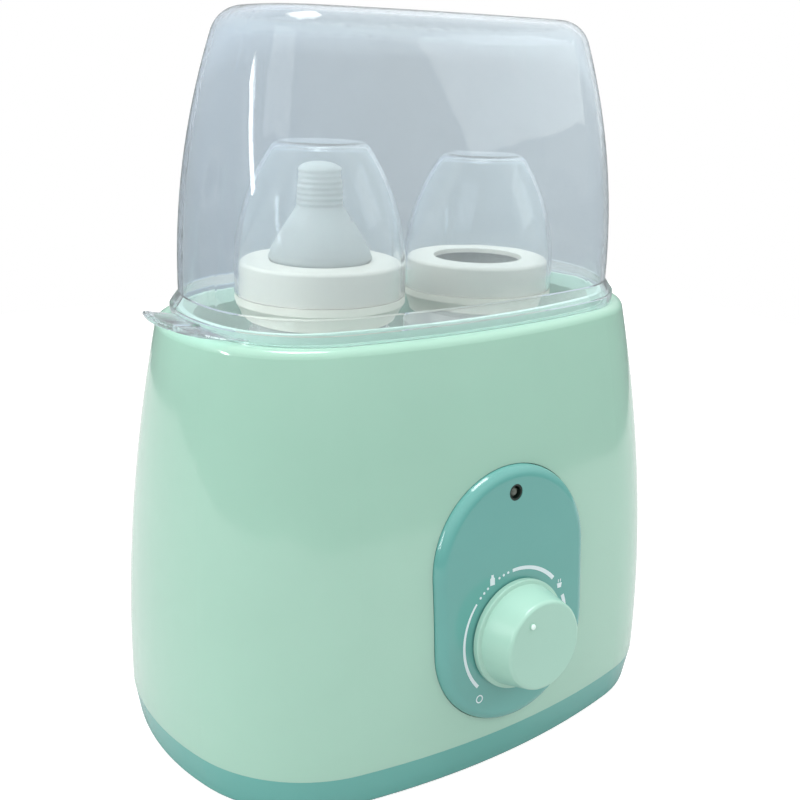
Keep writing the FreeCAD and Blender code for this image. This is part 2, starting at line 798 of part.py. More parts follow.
def make_water_tank():
    """The tub that holds the bath: floor with the heating plate's mouth, wall, flange and ridge."""
    body = new_body("water_tank")
    rebate_floor = f"({TOP} - {dim('rebate_depth')})"
    wall_top = inset(RIM, f"({dim('mouth_inset')} + {dim('tank_gap')})")
    low = oval_sketch(body, "floor_line", [tank_floor_outline()], dim("tank_floor_height"))
    high = oval_sketch(body, "wall_line", [wall_top], rebate_floor)
    loft(body, [low, high], "Tub", ruled=True)
    flange_line = inset(RIM, f"({dim('rebate_inset')} + {dim('tank_gap')})")
    flange = oval_sketch(body, "flange", [flange_line], rebate_floor)
    pad(body, flange, f"({dim('rebate_depth')} - 0.1)", "Flange")
    ridge_line = inset(RIM, dim("ridge_inset"))
    ridge = oval_sketch(body, "ridge", [ridge_line], f"({TOP} - 0.6)")
    pad(body, ridge, f"(0.6 + {dim('ridge_height')})", "Ridge")
    floor_room = oval_sketch(
        body, "inside_floor", [inset(tank_floor_outline(), dim("tank_wall"))], TANK_FLOOR_TOP
    )
    wall_room = oval_sketch(body, "inside_wall", [inset(wall_top, dim("tank_wall"))], rebate_floor)
    loft(body, [floor_room, wall_room], "Room", cut=True, ruled=True)
    mouth_inset = f"({dim('ridge_inset')} + {dim('ridge_thickness')})"
    mouth_line = inset(RIM, mouth_inset)
    upper = oval_sketch(body, "mouth_top", [mouth_line], f"({TOP} + {dim('ridge_height')})")
    lower = oval_sketch(body, "mouth_foot", [inset(wall_top, dim("tank_wall"))], rebate_floor)
    loft(body, [lower, upper], "Mouth", cut=True, ruled=True)
    opening = profile_sketch(
        body,
        "plate_mouth",
        *lying_stadium(dim("plate_mouth_length"), dim("plate_mouth_width")),
        role="XY_Plane",
        height=TANK_FLOOR_TOP,
    )
    pocket(body, opening, f"({dim('tank_floor_thickness')} + 1)", "PlateMouth")
    pilot_radius = f"({dim('plate_screw_radius')} + {dim('running_gap')})"
    pilot_top = f"({dim('tank_floor_height')} + 3.6)"
    pilots = circle_sketch(body, "plate_pilots", PLATE_SCREWS, pilot_radius, pilot_top)
    pocket(body, pilots, "5", "PlatePilots")


def stadium_plate(label, top, thickness, mouth=False):
    """A lying stadium plate with the four screw holes, open in the middle if it is a ring."""
    body = new_body(label)
    bottom = f"({top} - {thickness})"
    plate = profile_sketch(
        body,
        "plate",
        *lying_stadium(dim("plate_length"), dim("plate_width")),
        role="XY_Plane",
        height=bottom,
    )
    pad(body, plate, thickness, "Plate")
    if mouth:
        opening = profile_sketch(
            body,
            "mouth",
            *lying_stadium(f"({dim('plate_mouth_length')} - 4)", f"({dim('plate_mouth_width')} - 4)"),
            role="XY_Plane",
            height=top,
        )
        pocket(body, opening, thickness, "Mouth")
    hole_radius = f"({dim('plate_screw_radius')} + {dim('screw_gap')})"
    holes = circle_sketch(body, "holes", PLATE_SCREWS, hole_radius, top)
    pocket(body, holes, f"({thickness} + 1)", "Holes")
    return body


def make_heating_plate():
    """The metal plate that closes the tank's floor, with two studs for the heater clamp."""
    body = stadium_plate("heating_plate", PLATE_TOP, dim("plate_thickness"))
    low = f"({PLATE_BOTTOM} - 5)"
    studs = circle_sketch(body, "studs", CLAMP_STUDS, dim("stud_radius"), low)
    pad(body, studs, "5.5", "Studs")


def make_plate_screws():
    """Four screws that clamp the heating plate and its seal to the tank's floor."""
    body = new_body("plate_screws", compound=True)
    head_height = dim("plate_head_height")
    low = f"({PLATE_BOTTOM} - {head_height})"
    heads = circle_sketch(body, "heads", PLATE_SCREWS, dim("plate_head_radius"), low)
    pad(body, heads, head_height, "Heads")
    screw_radius = dim("plate_screw_radius")
    shanks = circle_sketch(body, "shanks", PLATE_SCREWS, screw_radius, PLATE_BOTTOM)
    reach = f"({dim('plate_thickness')} + {dim('seal_thickness')} + 3.2)"
    pad(body, shanks, reach, "Shanks")


def make_heater():
    """The flat heater pack under the plate."""
    body = new_body("ptc_heater")
    half_length = f"({dim('heater_length')} / 2)"
    half_width = f"({dim('heater_width')} / 2)"
    corners = box_corners(f"(-{half_length})", f"(-{half_width})", half_length, half_width)
    bottom = f"({PLATE_BOTTOM} - {dim('heater_height')})"
    sketch = profile_sketch(body, "pack", corners, role="XY_Plane", height=bottom)
    pad(body, sketch, dim("heater_height"), "Pack")
    terminals = new_sketch(body, "terminals", height=f"({bottom} + 2)")
    for side in (1, -1):
        low, high = f"({side} * 6 - 2.4)", f"({side} * 6 + 2.4)"
        add_profile(terminals, box_corners(f"({half_length} - 1)", low, f"({half_length} + 9)", high))
    pad(body, terminals, "0.8", "Terminals")


def make_heater_clamp():
    """The bent strap that presses the heater against the plate."""
    body = new_body("heater_clamp")
    inner = f"({dim('heater_width')} / 2 + 0.1)"
    outer = f"({inner} + {dim('clamp_thickness')})"
    foot = f"({outer} + {dim('clamp_foot')})"
    low = f"({PLATE_BOTTOM} - {dim('heater_height')} - 0.1)"
    under = f"({low} - {dim('clamp_thickness')})"
    ledge = f"({PLATE_BOTTOM} - {dim('clamp_thickness')})"
    corners = [
        (f"(-{foot})", ledge),
        (f"(-{outer})", ledge),
        (f"(-{outer})", under),
        (outer, under),
        (outer, ledge),
        (foot, ledge),
        (foot, PLATE_BOTTOM),
        (inner, PLATE_BOTTOM),
        (inner, low),
        (f"(-{inner})", low),
        (f"(-{inner})", PLATE_BOTTOM),
        (f"(-{foot})", PLATE_BOTTOM),
    ]
    half = f"({dim('clamp_length')} / 2)"
    sketch = profile_sketch(body, "strap", corners, role="YZ_Plane", height=f"(-{half})")
    pad(body, sketch, dim("clamp_length"), "Strap")
    hole_radius = f"({dim('stud_radius')} + 0.1)"
    holes = circle_sketch(body, "holes", CLAMP_STUDS, hole_radius, PLATE_BOTTOM)
    pocket(body, holes, f"({dim('clamp_thickness')} + 1)", "Holes")


def hexagon(sketch, centre, flats):
    """Add a hexagon of a width across flats about a centre."""
    across, up = centre
    reach = f"({flats} / 2 / cos(30deg))"
    corners = [
        (f"({across} + {reach} * cos({turn_by}deg))", f"({up} + {reach} * sin({turn_by}deg))")
        for turn_by in range(30, 390, 60)
    ]
    add_profile(sketch, corners)


def make_clamp_nuts():
    """Two nuts on the heating plate's studs."""
    body = new_body("clamp_nuts", compound=True)
    top = f"({PLATE_BOTTOM} - {dim('clamp_thickness')})"
    thickness = dim("clamp_nut_thickness")
    sketch = new_sketch(body, "nuts", height=f"({top} - {thickness})")
    for centre in CLAMP_STUDS:
        hexagon(sketch, centre, dim("clamp_nut_flats"))
    pad(body, sketch, thickness, "Nuts")
    bores = circle_sketch(body, "bores", CLAMP_STUDS, f"({dim('stud_radius')} + 0.02)", top)
    pocket(body, bores, f"({thickness} + 1)", "Bores")


def make_thermal_cutoff():
    """The snap-disc cut-out that stops the heater if the tank runs dry."""
    body = new_body("thermal_cutoff")
    bottom = f"({PLATE_BOTTOM} - 7)"
    case = circle_sketch(body, "case", [("0", "0")], dim("cutoff_radius"), bottom)
    pad(body, case, "7", "Case")
    blades = new_sketch(body, "blades", height=f"({bottom} - 6)")
    for side in (1, -1):
        low, high = f"({side} * 5 - 0.4)", f"({side} * 5 + 0.4)"
        add_profile(blades, box_corners(low, "(-2)", high, "2"))
    pad(body, blades, "6.5", "Blades")
    place(body, f"(-{dim('cutoff_along')})", "0", "0")


# ---------------------------------------------------------------- control panel


def make_control_panel():
    """The raised stadium pad: rounded cup with shaft hole, lamp hole and four fixing ears."""
    body = new_body("control_panel")
    place_on_panel(body)
    depth = dim("panel_depth")
    straight = dim("panel_half_straight")
    rise = dim("panel_rise")
    outline = profile_sketch(
        body,
        "outline",
        *stadium_corners(dim("panel_half_width"), straight, rise),
        role="XY_Plane",
        height=f"(-{depth})",
    )
    pad(body, outline, depth, "Pad")
    round_edges(body, level_edges(body, 0.0), dim("panel_edge_round"), "FrontEdge")
    ears = new_sketch(body, "ears", height=f"(-{depth})")
    for side in (1, -1):
        for level in ("ear_low", "ear_high"):
            low, high = (f"({dim(level)} {sign} {dim('ear_radius')})" for sign in "-+")
            near = f"({side} * ({dim('panel_half_width')} - 1))"
            far = f"({side} * ({dim('ear_reach')} + {dim('ear_radius')} - 0.4))"
            add_profile(ears, box_corners(near, low, far, high))
    pad(body, ears, dim("ear_thickness"), "Ears")
    inner_width = f"({dim('panel_half_width')} - {dim('panel_wall')})"
    room = profile_sketch(
        body,
        "room",
        *stadium_corners(inner_width, straight, rise),
        role="XY_Plane",
        height=f"(-{dim('panel_face')})",
    )
    pocket(body, room, depth, "Room")
    ear_holes = circle_sketch(body, "ear_holes", EARS, f"({dim('panel_screw_radius')} + 0.2)")
    pocket(body, ear_holes, f"({depth} + 1)", "EarHoles")
    bush_hole = f"({dim('bush_radius')} + 0.1)"
    shaft_hole = circle_sketch(body, "shaft_hole", [("0", "0")], bush_hole)
    pocket(body, shaft_hole, f"({dim('panel_face')} + 1)", "ShaftHole")
    lamp = circle_sketch(body, "lamp_hole", [("0", dim("lamp_rise"))], dim("lamp_hole_radius"))
    pocket(body, lamp, f"({dim('panel_face')} + 1)", "LampHole")


def make_panel_screws():
    """Four small screws that hold the panel's ears to the housing."""
    body = new_body("panel_screws", compound=True)
    place_on_panel(body)
    heads = circle_sketch(body, "heads", EARS, "2.2", f"(-{dim('panel_depth')} - 1.5)")
    pad(body, heads, "1.5", "Heads")
    shanks = circle_sketch(
        body, "shanks", EARS, dim("panel_screw_radius"), f"(-{dim('panel_depth')})"
    )
    pad(body, shanks, f"({dim('panel_depth')} - 6)", "Shanks")


def make_thermostat():
    """The rotary thermostat behind the panel: case, threaded bush and two blade terminals."""
    body = new_body("thermostat")
    place_on_panel(body)
    half = f"({dim('thermostat_width')} / 2)"
    case = new_sketch(body, "case", height=f"(-{dim('thermostat_back')})")
    add_profile(case, box_corners(f"(-{half})", f"(-{half})", half, half))
    pad(body, case, f"({dim('thermostat_back')} - {dim('panel_face')})", "Case")
    bush = circle_sketch(body, "bush", [("0", "0")], dim("bush_radius"), f"(-{dim('panel_face')} - 1)")
    pad(body, bush, f"({dim('panel_face')} + 1 + 5)", "Bush")
    blades = new_sketch(body, "blades", height=f"(-{dim('thermostat_back')} - 7)")
    for side in (1, -1):
        low, high = f"({side} * 8 - 0.4)", f"({side} * 8 + 0.4)"
        add_profile(blades, box_corners(low, "(-3)", high, "3"))
    pad(body, blades, "8", "Blades")
    bore_radius = f"({dim('shaft_radius')} + {dim('running_gap')})"
    bore = circle_sketch(body, "bore", [("0", "0")], bore_radius, "5")
    pocket(body, bore, "14", "Bore")


def make_shaft_nut():
    """The hexagon nut that clamps the thermostat's bush to the panel, under the knob."""
    body = new_body("shaft_nut")
    place_on_panel(body)
    sketch = new_sketch(body, "nut")
    hexagon(sketch, ("0", "0"), dim("nut_flats"))
    pad(body, sketch, dim("nut_thickness"), "Nut")
    bore = circle_sketch(
        body, "bore", [("0", "0")], f"({dim('bush_radius')} + 0.03)", dim("nut_thickness")
    )
    pocket(body, bore, f"({dim('nut_thickness')} + 1)", "Bore")


def add_flatted_circle(sketch, radius, flat):
    """Add a circle with one flat, as a shaft's D section."""
    half_chord = f"sqrt({radius}^2 - {flat}^2)"
    corners = [(half_chord, flat), (f"(-{half_chord})", flat), ("0", f"(-{radius})")]
    add_profile(sketch, corners, {1: (radius, -1), 2: (radius, -1)})


def make_thermostat_shaft():
    """The D shaft that the knob turns in the thermostat."""
    body = new_body("thermostat_shaft")
    place_on_panel(body)
    round_part = circle_sketch(body, "journal", [("0", "0")], dim("shaft_radius"), "(-8.5)")
    pad(body, round_part, "14", "Journal")
    flatted = new_sketch(body, "flatted", height="5")
    add_flatted_circle(flatted, dim("shaft_radius"), dim("flat_distance"))
    pad(body, flatted, "8.5", "Flatted")


def make_knob():
    """The dial knob: base ring, tapering cap with a hub, and a raised pointer dot."""
    body = new_body("knob")
    place_on_panel(body)
    corners = [
        ("0", dim("knob_ring_bottom")),
        (dim("knob_ring_radius"), dim("knob_ring_bottom")),
        (dim("knob_ring_radius"), dim("knob_ring_top")),
        (dim("knob_root_radius"), f"({dim('knob_ring_top')} + 0.5)"),
        (dim("knob_face_radius"), dim("knob_face_height")),
        ("0", dim("knob_face_height")),
    ]
    turn(body, profile_sketch(body, "cap", corners), "Cap")
    face_edge = level_edges(body, number(dim("knob_face_height")))
    round_edges(body, face_edge, "1.6", "FaceEdge")
    ring_edge = level_edges(body, number(dim("knob_ring_top")))
    round_edges(body, ring_edge, "0.6", "RingEdge")
    roof = f"({dim('knob_face_height')} - {dim('knob_wall')})"
    skirt = f"({dim('knob_root_radius')} - {dim('knob_wall')})"
    neck = f"({dim('knob_face_radius')} - {dim('knob_wall')})"
    hub = dim("knob_hub_radius")
    hub_foot = dim("knob_hub_foot")
    hollow = [
        ("0", f"({dim('knob_ring_bottom')} - 1)"),
        (skirt, f"({dim('knob_ring_bottom')} - 1)"),
        (neck, roof),
        (hub, roof),
        (hub, hub_foot),
        ("0", hub_foot),
    ]
    turn(body, profile_sketch(body, "hollow", hollow), "Hollow", cut=True)
    bore = new_sketch(body, "bore", height="14")
    gap = "0.03"
    add_flatted_circle(bore, f"({dim('shaft_radius')} + {gap})", f"({dim('flat_distance')} + {gap})")
    pocket(body, bore, "10", "Bore")
    turned = f"({dim('pointer_turn')} * 1deg)"
    dot_place = (
        f"(-{dim('pointer_reach')} * sin({turned}))",
        f"({dim('pointer_reach')} * cos({turned}))",
    )
    dot = circle_sketch(
        body, "dot", [dot_place], dim("pointer_radius"), f"({dim('knob_face_height')} - 0.5)"
    )
    pad(body, dot, f"({dim('pointer_height')} + 0.5)", "Dot")
    dot_top = number(dim("knob_face_height")) + number(dim("pointer_height"))
    round_edges(body, level_edges(body, dot_top), "0.5", "DotEdge")


def make_lamp_bezel():
    """The black sleeve in the panel's lamp hole."""
    body = new_body("lamp_bezel")
    place_on_panel(body)
    place_low = f"(-{dim('panel_face')} - 5)"
    outer = f"({dim('lamp_hole_radius')} - 0.05)"
    sleeve = circle_sketch(body, "sleeve", [("0", dim("lamp_rise"))], outer, place_low)
    pad(body, sleeve, f"({dim('panel_face')} + 4.8)", "Sleeve")
    collar = circle_sketch(body, "collar", [("0", dim("lamp_rise"))], "4.6", place_low)
    pad(body, collar, "5", "Collar")
    bore_radius = f"({dim('lamp_radius')} + 0.1)"
    bore = circle_sketch(body, "bore", [("0", dim("lamp_rise"))], bore_radius, "0")
    pocket(body, bore, "9", "Bore")


def make_indicator_lamp():
    """The small lamp with a domed tip, just below the panel's face."""
    body = new_body("indicator_lamp")
    place_on_panel(body)
    radius = dim("lamp_radius")
    low = f"(-{dim('panel_face')} - 5.2)"
    corners = [("0", low), (radius, low), (radius, "(-3.2)"), ("0", "(-0.7)")]
    dome = profile_sketch(body, "dome", corners, {2: (radius, -1)}, role="XZ_Plane")
    dome.setExpression("AttachmentOffset.Base.z", f"(-{dim('lamp_rise')})")
    turn(body, dome, "Dome")


def make_lamp_board():
    """The little board that carries the lamp and its resistor."""
    body = new_body("lamp_board")
    place_on_panel(body)
    top = f"(-{dim('panel_face')} - 5.2)"
    rise = dim("lamp_rise")
    thickness = dim("board_thickness")
    board = new_sketch(body, "board", height=f"({top} - {thickness})")
    add_profile(board, box_corners("(-11)", f"({rise} - 7)", "11", f"({rise} + 5.5)"))
    pad(body, board, thickness, "Board")
    resistor = new_sketch(body, "resistor", height=f"({top} - {thickness} - 2.2)")
    add_profile(resistor, box_corners("(-8)", f"({rise} - 5)", "(-2)", f"({rise} - 2.6)"))
    pad(body, resistor, "2.4", "Resistor")


# ---------------------------------------------------------------- lid


def lid_line(height):
    """The lid wall's outline at a height, drawn in by a power of its rise."""
    foot = dim("lid_wall_bottom")
    rise = f"(({height} - {foot}) / ({dim('lid_top')} - {foot}))"
    return inset(lid_outline(), f"({dim('lid_draw')} * {rise}^{dim('lid_draw_power')})")


def make_lid():
    """The clear lid: flange on the housing's rim, flared foot, drawn-in wall and finger tab."""
    body = new_body("lid")
    foot = dim("lid_wall_bottom")
    top = dim("lid_top")
    wall = dim("lid_wall")
    flange_line = inset(lid_outline(), f"(-{dim('flange_step')})")
    flange_top = f"({TOP} + {dim('flange_height')})"
    steps = 4
    outer = [f"({foot} + ({top} - {foot}) * {step} / {steps})" for step in range(steps + 1)]
    walls = [oval_sketch(body, f"wall_{i}", [lid_line(z)], z) for i, z in enumerate(outer)]
    loft(body, walls, "Dome")
    round_edges(body, level_edges(body, number(top)), dim("lid_top_round"), "TopEdge")
    hollow_out(body, number(foot), wall)
    flare_low = oval_sketch(body, "flare_low", [flange_line], flange_top)
    flare_high = oval_sketch(body, "flare_high", [lid_outline()], foot)
    loft(body, [flare_low, flare_high], "Flare", ruled=True)
    flange = oval_sketch(body, "flange", [flange_line], TOP)
    pad(body, flange, dim("flange_height"), "Flange")
    tab_root = f"({dim('tab_reach')} - 16)"
    under = f"({TOP} + 0.4)"
    tab_tip = dim("tab_reach")
    tab = [
        (f"(-{tab_root})", under),
        (f"(-{tab_tip} + 0.6)", f"({under} + {dim('tab_lift')})"),
        (f"(-{tab_tip})", f"({under} + {dim('tab_lift')} + 0.6 * {dim('tab_tip_thickness')})"),
        (f"(-{tab_tip} + 0.8)", f"({under} + {dim('tab_lift')} + {dim('tab_tip_thickness')})"),
        (f"(-{tab_root})", f"({under} + {dim('tab_thickness')})"),
    ]
    tab_sketch = profile_sketch(body, "tab", tab, shift=f"(-{dim('tab_pivot')})")
    turn(body, tab_sketch, "Tab", angle=dim("tab_angle"), midplane=True)
    skirt_line = inset(flange_line, wall)
    skirt_top = f"({flange_top} - 0.8)"
    skirt_low = oval_sketch(body, "skirt_low", [skirt_line], skirt_top)
    skirt_high = oval_sketch(body, "skirt_high", [inset(lid_outline(), wall)], f"({foot} + 0.4)")
    loft(body, [skirt_low, skirt_high], "FlareRoom", cut=True, ruled=True)
    skirt = oval_sketch(body, "skirt", [skirt_line], skirt_top)
    pocket(body, skirt, dim("flange_height"), "SkirtRoom")


# ---------------------------------------------------------------- bottles


def bottle_place(side):
    """Where a bottle stands: side -1 is the left one, 1 the right one."""
    return f"({side} * {dim('bottle_along')})", f"({side} * {dim('bottle_across')})"


def make_bottle(label, side, collar_top, liner):
    """A wide-neck bottle that stands on the tank's floor."""
    body = new_body(label)
    height = f"({collar_top} - {dim('collar_top_thickness')} - {liner} - {TANK_FLOOR_TOP})"
    shoulder = f"({height} - {dim('collar_drop')} - 2)"
    radius = dim("bottle_radius")
    neck = dim("neck_radius")
    wall = dim("bottle_wall")
    outer = [
        ("0", "0"),
        (f"({radius} - 3)", "0"),
        (radius, "3"),
        (radius, f"({shoulder} - 7)"),
        (neck, f"({shoulder} + 1)"),
        (neck, height),
        ("0", height),
    ]
    turn(body, profile_sketch(body, "outer", outer), "Outside")
    inner = [
        ("0", "2"),
        (f"({radius} - 3.6)", "2"),
        (f"({radius} - {wall})", "4"),
        (f"({radius} - {wall})", f"({shoulder} - 7.6)"),
        (f"({neck} - {wall})", f"({shoulder} + 0.4)"),
        (f"({neck} - {wall})", f"({height} + 1)"),
        ("0", f"({height} + 1)"),
    ]
    turn(body, profile_sketch(body, "inner", inner), "Inside", cut=True)
    place(body, *bottle_place(side), TANK_FLOOR_TOP)


def make_collar(label, side, collar_top):
    """The screw ring: upper cylinder, ledge for the cap and a skirt that curves in."""
    body = new_body(label)
    drop = dim("collar_drop")
    ledge = f"(-{dim('collar_ledge_drop')})"
    corners = [
        (dim("collar_bore"), f"(-{drop})"),
        (dim("collar_foot_radius"), f"(-{drop})"),
        (dim("collar_ledge_radius"), f"({ledge} - 3)"),
        (dim("collar_ledge_radius"), ledge),
        (dim("collar_radius"), ledge),
        (dim("collar_radius"), "0"),
        (dim("collar_hole_radius"), "0"),
        (dim("collar_hole_radius"), f"(-{dim('collar_top_thickness')})"),
        (dim("collar_bore"), f"(-{dim('collar_top_thickness')})"),
    ]
    turn(body, profile_sketch(body, "ring", corners, {1: ("16", 1)}), "Ring")
    top_edge = level_edges(body, 0.0, lambda edge: edge.BoundBox.XLength > 50)
    round_edges(body, top_edge, "1.4", "TopEdge")
    place(body, *bottle_place(side), collar_top)


def cap_profile(inset_by):
    """Half profile of the dome cap, or of its room when inset."""
    radius = f"({dim('cap_radius')} - {inset_by})"
    bend = f"({dim('cap_bend_radius')} - {inset_by})"
    height = f"({dim('cap_height')} - {inset_by})"
    rise = f"({height} - {dim('cap_straight')})"
    top_radius = f"({radius} - {bend} + sqrt({bend}^2 - {rise}^2))"
    corners = [
        ("0", "0"),
        (radius, "0"),
        (radius, dim("cap_straight")),
        (top_radius, height),
        ("0", height),
    ]
    return corners, {2: (bend, -1)}


def make_cap(label, side, collar_top):
    """The clear dome cap that rests on the collar's ledge."""
    body = new_body(label)
    turn(body, profile_sketch(body, "outer", *cap_profile("0")), "Outside")
    height = number(dim("cap_height"))
    round_edges(body, level_edges(body, height), dim("cap_top_round"), "TopEdge")
    turn(body, profile_sketch(body, "inner", *cap_profile(dim("cap_wall"))), "Inside", cut=True)
    roof = height - number(dim("cap_wall"))
    room_round = f"({dim('cap_top_round')} - {dim('cap_wall')})"
    round_edges(body, level_edges(body, roof), room_round, "RoofEdge")
    place(body, *bottle_place(side), f"({collar_top} - {dim('collar_ledge_drop')})")


def teat_profile(inset_by, base):
    """Half profile of the teat above its flange, or of its room when inset."""
    root = f"({dim('teat_root_radius')} - {inset_by})"
    stem = f"({dim('teat_stem_radius')} - {inset_by})"
    corners = [
        ("0", base),
        (root, base),
        (root, "2"),
        (f"({stem} + 3)", "19"),
        (stem, "24"),
        (stem, "29"),
        ("0", f"(29 + {stem})"),
    ]
    return corners, {2: ("40", -1), 5: (stem, -1)}


def make_teat(collar_top):
    """The soft teat of the left bottle: flange under the collar, broad dome and stem."""
    body = new_body("teat_left")
    low = f"(-{dim('collar_top_thickness')} - {dim('teat_flange')})"
    flange = circle_sketch(body, "flange", [("0", "0")], dim("teat_flange_radius"), low)
    pad(body, flange, dim("teat_flange"), "Flange")
    turn(body, profile_sketch(body, "outer", *teat_profile("0", low)), "Dome")
    inner = profile_sketch(body, "inner", *teat_profile(dim("teat_wall"), f"({low} - 1)"))
    turn(body, inner, "Room", cut=True)
    place(body, *bottle_place(-1), collar_top)


# ---------------------------------------------------------------- inner wiring


def on_panel(across, up, out):
    """A point given in the panel's own directions, from the knob's centre on the panel's face."""
    lean = math.radians(number(dim("panel_lean")))
    centre = Vector(0, -number(dim("panel_front")), number(dim("knob_height")))
    rise = Vector(0, math.sin(lean), math.cos(lean))
    outward = Vector(0, -math.cos(lean), math.sin(lean))
    return centre + Vector(across, 0, 0) + rise * up + outward * out


def tube_path(points):
    """Straight runs through the points, joined by tangent arcs."""
    edges = []
    start = points[0]
    for before, corner, after in zip(points, points[1:], points[2:]):
        arriving = (corner - before).normalize()
        leaving = (after - corner).normalize()
        half_turn = arriving.getAngle(leaving) / 2
        setback = 0.45 * min((corner - before).Length, (after - corner).Length)
        entry = corner - arriving * setback
        leave = corner + leaving * setback
        bend = setback / math.tan(half_turn)
        inward = (leaving - arriving).normalize()
        middle = corner + inward * (bend / math.cos(half_turn) - bend)
        edges.append(Part.LineSegment(start, entry).toShape())
        edges.append(Part.Arc(entry, middle, leave).toShape())
        start = leave
    edges.append(Part.LineSegment(start, points[-1]).toShape())
    return Part.Wire(edges)


def bent_tubes(label, routes, radius):
    """Round wires or tubes along their routes; no sketch holds a path that turns in space."""
    size = number(radius)
    tubes = []
    for route in routes:
        points = [Vector(*point) for point in route]
        path = tube_path(points)
        ring = Part.Circle(points[0], points[1] - points[0], size).toShape()
        tube = path.makePipeShell([Part.Wire([ring])], True, True)
        expected = math.pi * size**2 * path.Length
        if not tube.isValid() or abs(tube.Volume - expected) > 0.02 * expected:
            raise RuntimeError(f"{label}: {tube.Volume:.1f} mm3 instead of {expected:.1f}")
        tubes.append(tube)
    feature = doc.addObject("Part::Feature", label)
    feature.Label = label
    feature.Shape = tubes[0] if len(tubes) == 1 else Part.makeCompound(tubes)
    feature.Placement = Placement()
    parts.append(feature)


def make_wiring():
    """The mains wires between block, thermostat, cut-out and heater, and the lamp's two wires."""
    radius = dim("wire_radius")
    back = number(dim("thermostat_back"))
    blade_end = -back - 7
    clear = blade_end - 5
    plate_bottom = number(PLATE_BOTTOM)
    tab_height = plate_bottom - number(dim("heater_height")) + 2.4
    tab_end = number(dim("heater_length")) / 2 + 9
    cutoff = -number(dim("cutoff_along"))
    cutoff_end = plate_bottom - 13
    block_across = number(dim("block_across"))
    block_top = number(FLOOR_TOP) + number(dim("block_height"))
    block_end = number(dim("block_pitch"))
    live_turn = on_panel(8, 0, clear)
    live = [
        on_panel(8, 0, blade_end),
        live_turn,
        (8, live_turn.y, 34),
        (block_end, block_across, 34),
        (block_end, block_across, block_top),
    ]
    switched_turn = on_panel(-8, 0, clear)
    switched = [
        on_panel(-8, 0, blade_end),
        switched_turn,
        (-8, switched_turn.y, 36),
        (cutoff + 5, 0, 36),
        (cutoff + 5, 0, cutoff_end),
    ]
    heater = [
        (tab_end, 6, tab_height),
        (tab_end + 7, 6, tab_height),
        (tab_end + 7, 6, 28),
        (tab_end + 7, 24, 28),
        (cutoff - 5, 24, 28),
        (cutoff - 5, 0, 28),
        (cutoff - 5, 0, cutoff_end),
    ]
    neutral = [
        (tab_end, -6, tab_height),
        (tab_end + 7, -6, tab_height),
        (tab_end + 7, -6, 23),
        (0, block_across, 23),
        (0, block_across, block_top),
    ]
    bent_tubes("wire_live", [live], radius)
    bent_tubes("wire_switched", [switched], radius)
    bent_tubes("wire_heater", [heater], radius)
    bent_tubes("wire_neutral", [neutral], radius)
    board_back = -number(dim("panel_face")) - 6.8
    case_top = number(dim("thermostat_width")) / 2
    lamp_routes = [
        [
            on_panel(across, 54.5, board_back),
            on_panel(across, 54.5, board_back - 9),
            on_panel(across, case_top + 8, board_back - 9),
            on_panel(across, case_top + 8, -11),
            on_panel(across, case_top, -11),
        ]
        for across in (-5, 5)
    ]
    bent_tubes("wire_lamp", lamp_routes, dim("lamp_wire_radius"))
    bulb_end = -number(dim("bulb_length")) / 2
    bulb_across = number(dim("bulb_across"))
    bulb_height = plate_bottom - number(dim("bulb_radius")) - 0.1
    capillary = [
        on_panel(-12, -10, -back),
        on_panel(-12, -10, -back - 9),
        (bulb_end - 7, bulb_across, bulb_height),
        (bulb_end, bulb_across, bulb_height),
    ]
    bent_tubes("capillary_tube", [capillary], dim("capillary_radius"))


def make_terminal_block():
    """The terminal block on the base floor, where the mains cord's cores end."""
    body = new_body("terminal_block")
    block = new_sketch(body, "block", height=FLOOR_TOP)
    length, width = dim("block_half_length"), dim("block_half_width")
    across = dim("block_across")
    low, high = f"({across} - {width})", f"({across} + {width})"
    add_profile(block, box_corners(f"(-{length})", low, length, high))
    pad(body, block, dim("block_height"), "Block")
    places = [(f"({step} * {dim('block_pitch')})", across) for step in (-1, 0, 1)]
    block_top = f"({FLOOR_TOP} + {dim('block_height')})"
    wells = circle_sketch(body, "wells", places, "2.6", block_top)
    pocket(body, wells, "5", "Wells")


def make_sensor_bulb():
    """The thermostat's liquid-filled bulb against the underside of the plate."""
    body = new_body("sensor_bulb")
    bulb = new_sketch(body, "bulb", "YZ_Plane", f"(-{dim('bulb_length')} / 2)")
    centre = (dim("bulb_across"), f"({PLATE_BOTTOM} - {dim('bulb_radius')} - 0.1)")
    add_circles(bulb, [centre], dim("bulb_radius"))
    pad(body, bulb, dim("bulb_length"), "Bulb")


def check_parts():
    """Stop unless every object computed and every sub-part is a valid solid."""
    doc.recompute()
    failed = [item.Label for item in doc.Objects if {"Invalid", "Error"} & set(item.State)]
    failed += [part.Label for part in parts if part.Shape.isNull() or not part.Shape.isValid()]
    if failed:
        raise RuntimeError(f"not usable: {sorted(set(failed))}")


def write_parts():
    """Write one STEP file for each sub-part."""
    os.makedirs("parts", exist_ok=True)
    for part in parts:
        part.Shape.exportStep(f"parts/{part.Label}.step")
        print(f"{part.Label}: {len(part.Shape.Solids)} solid(s), {part.Shape.Volume:.0f} mm3")


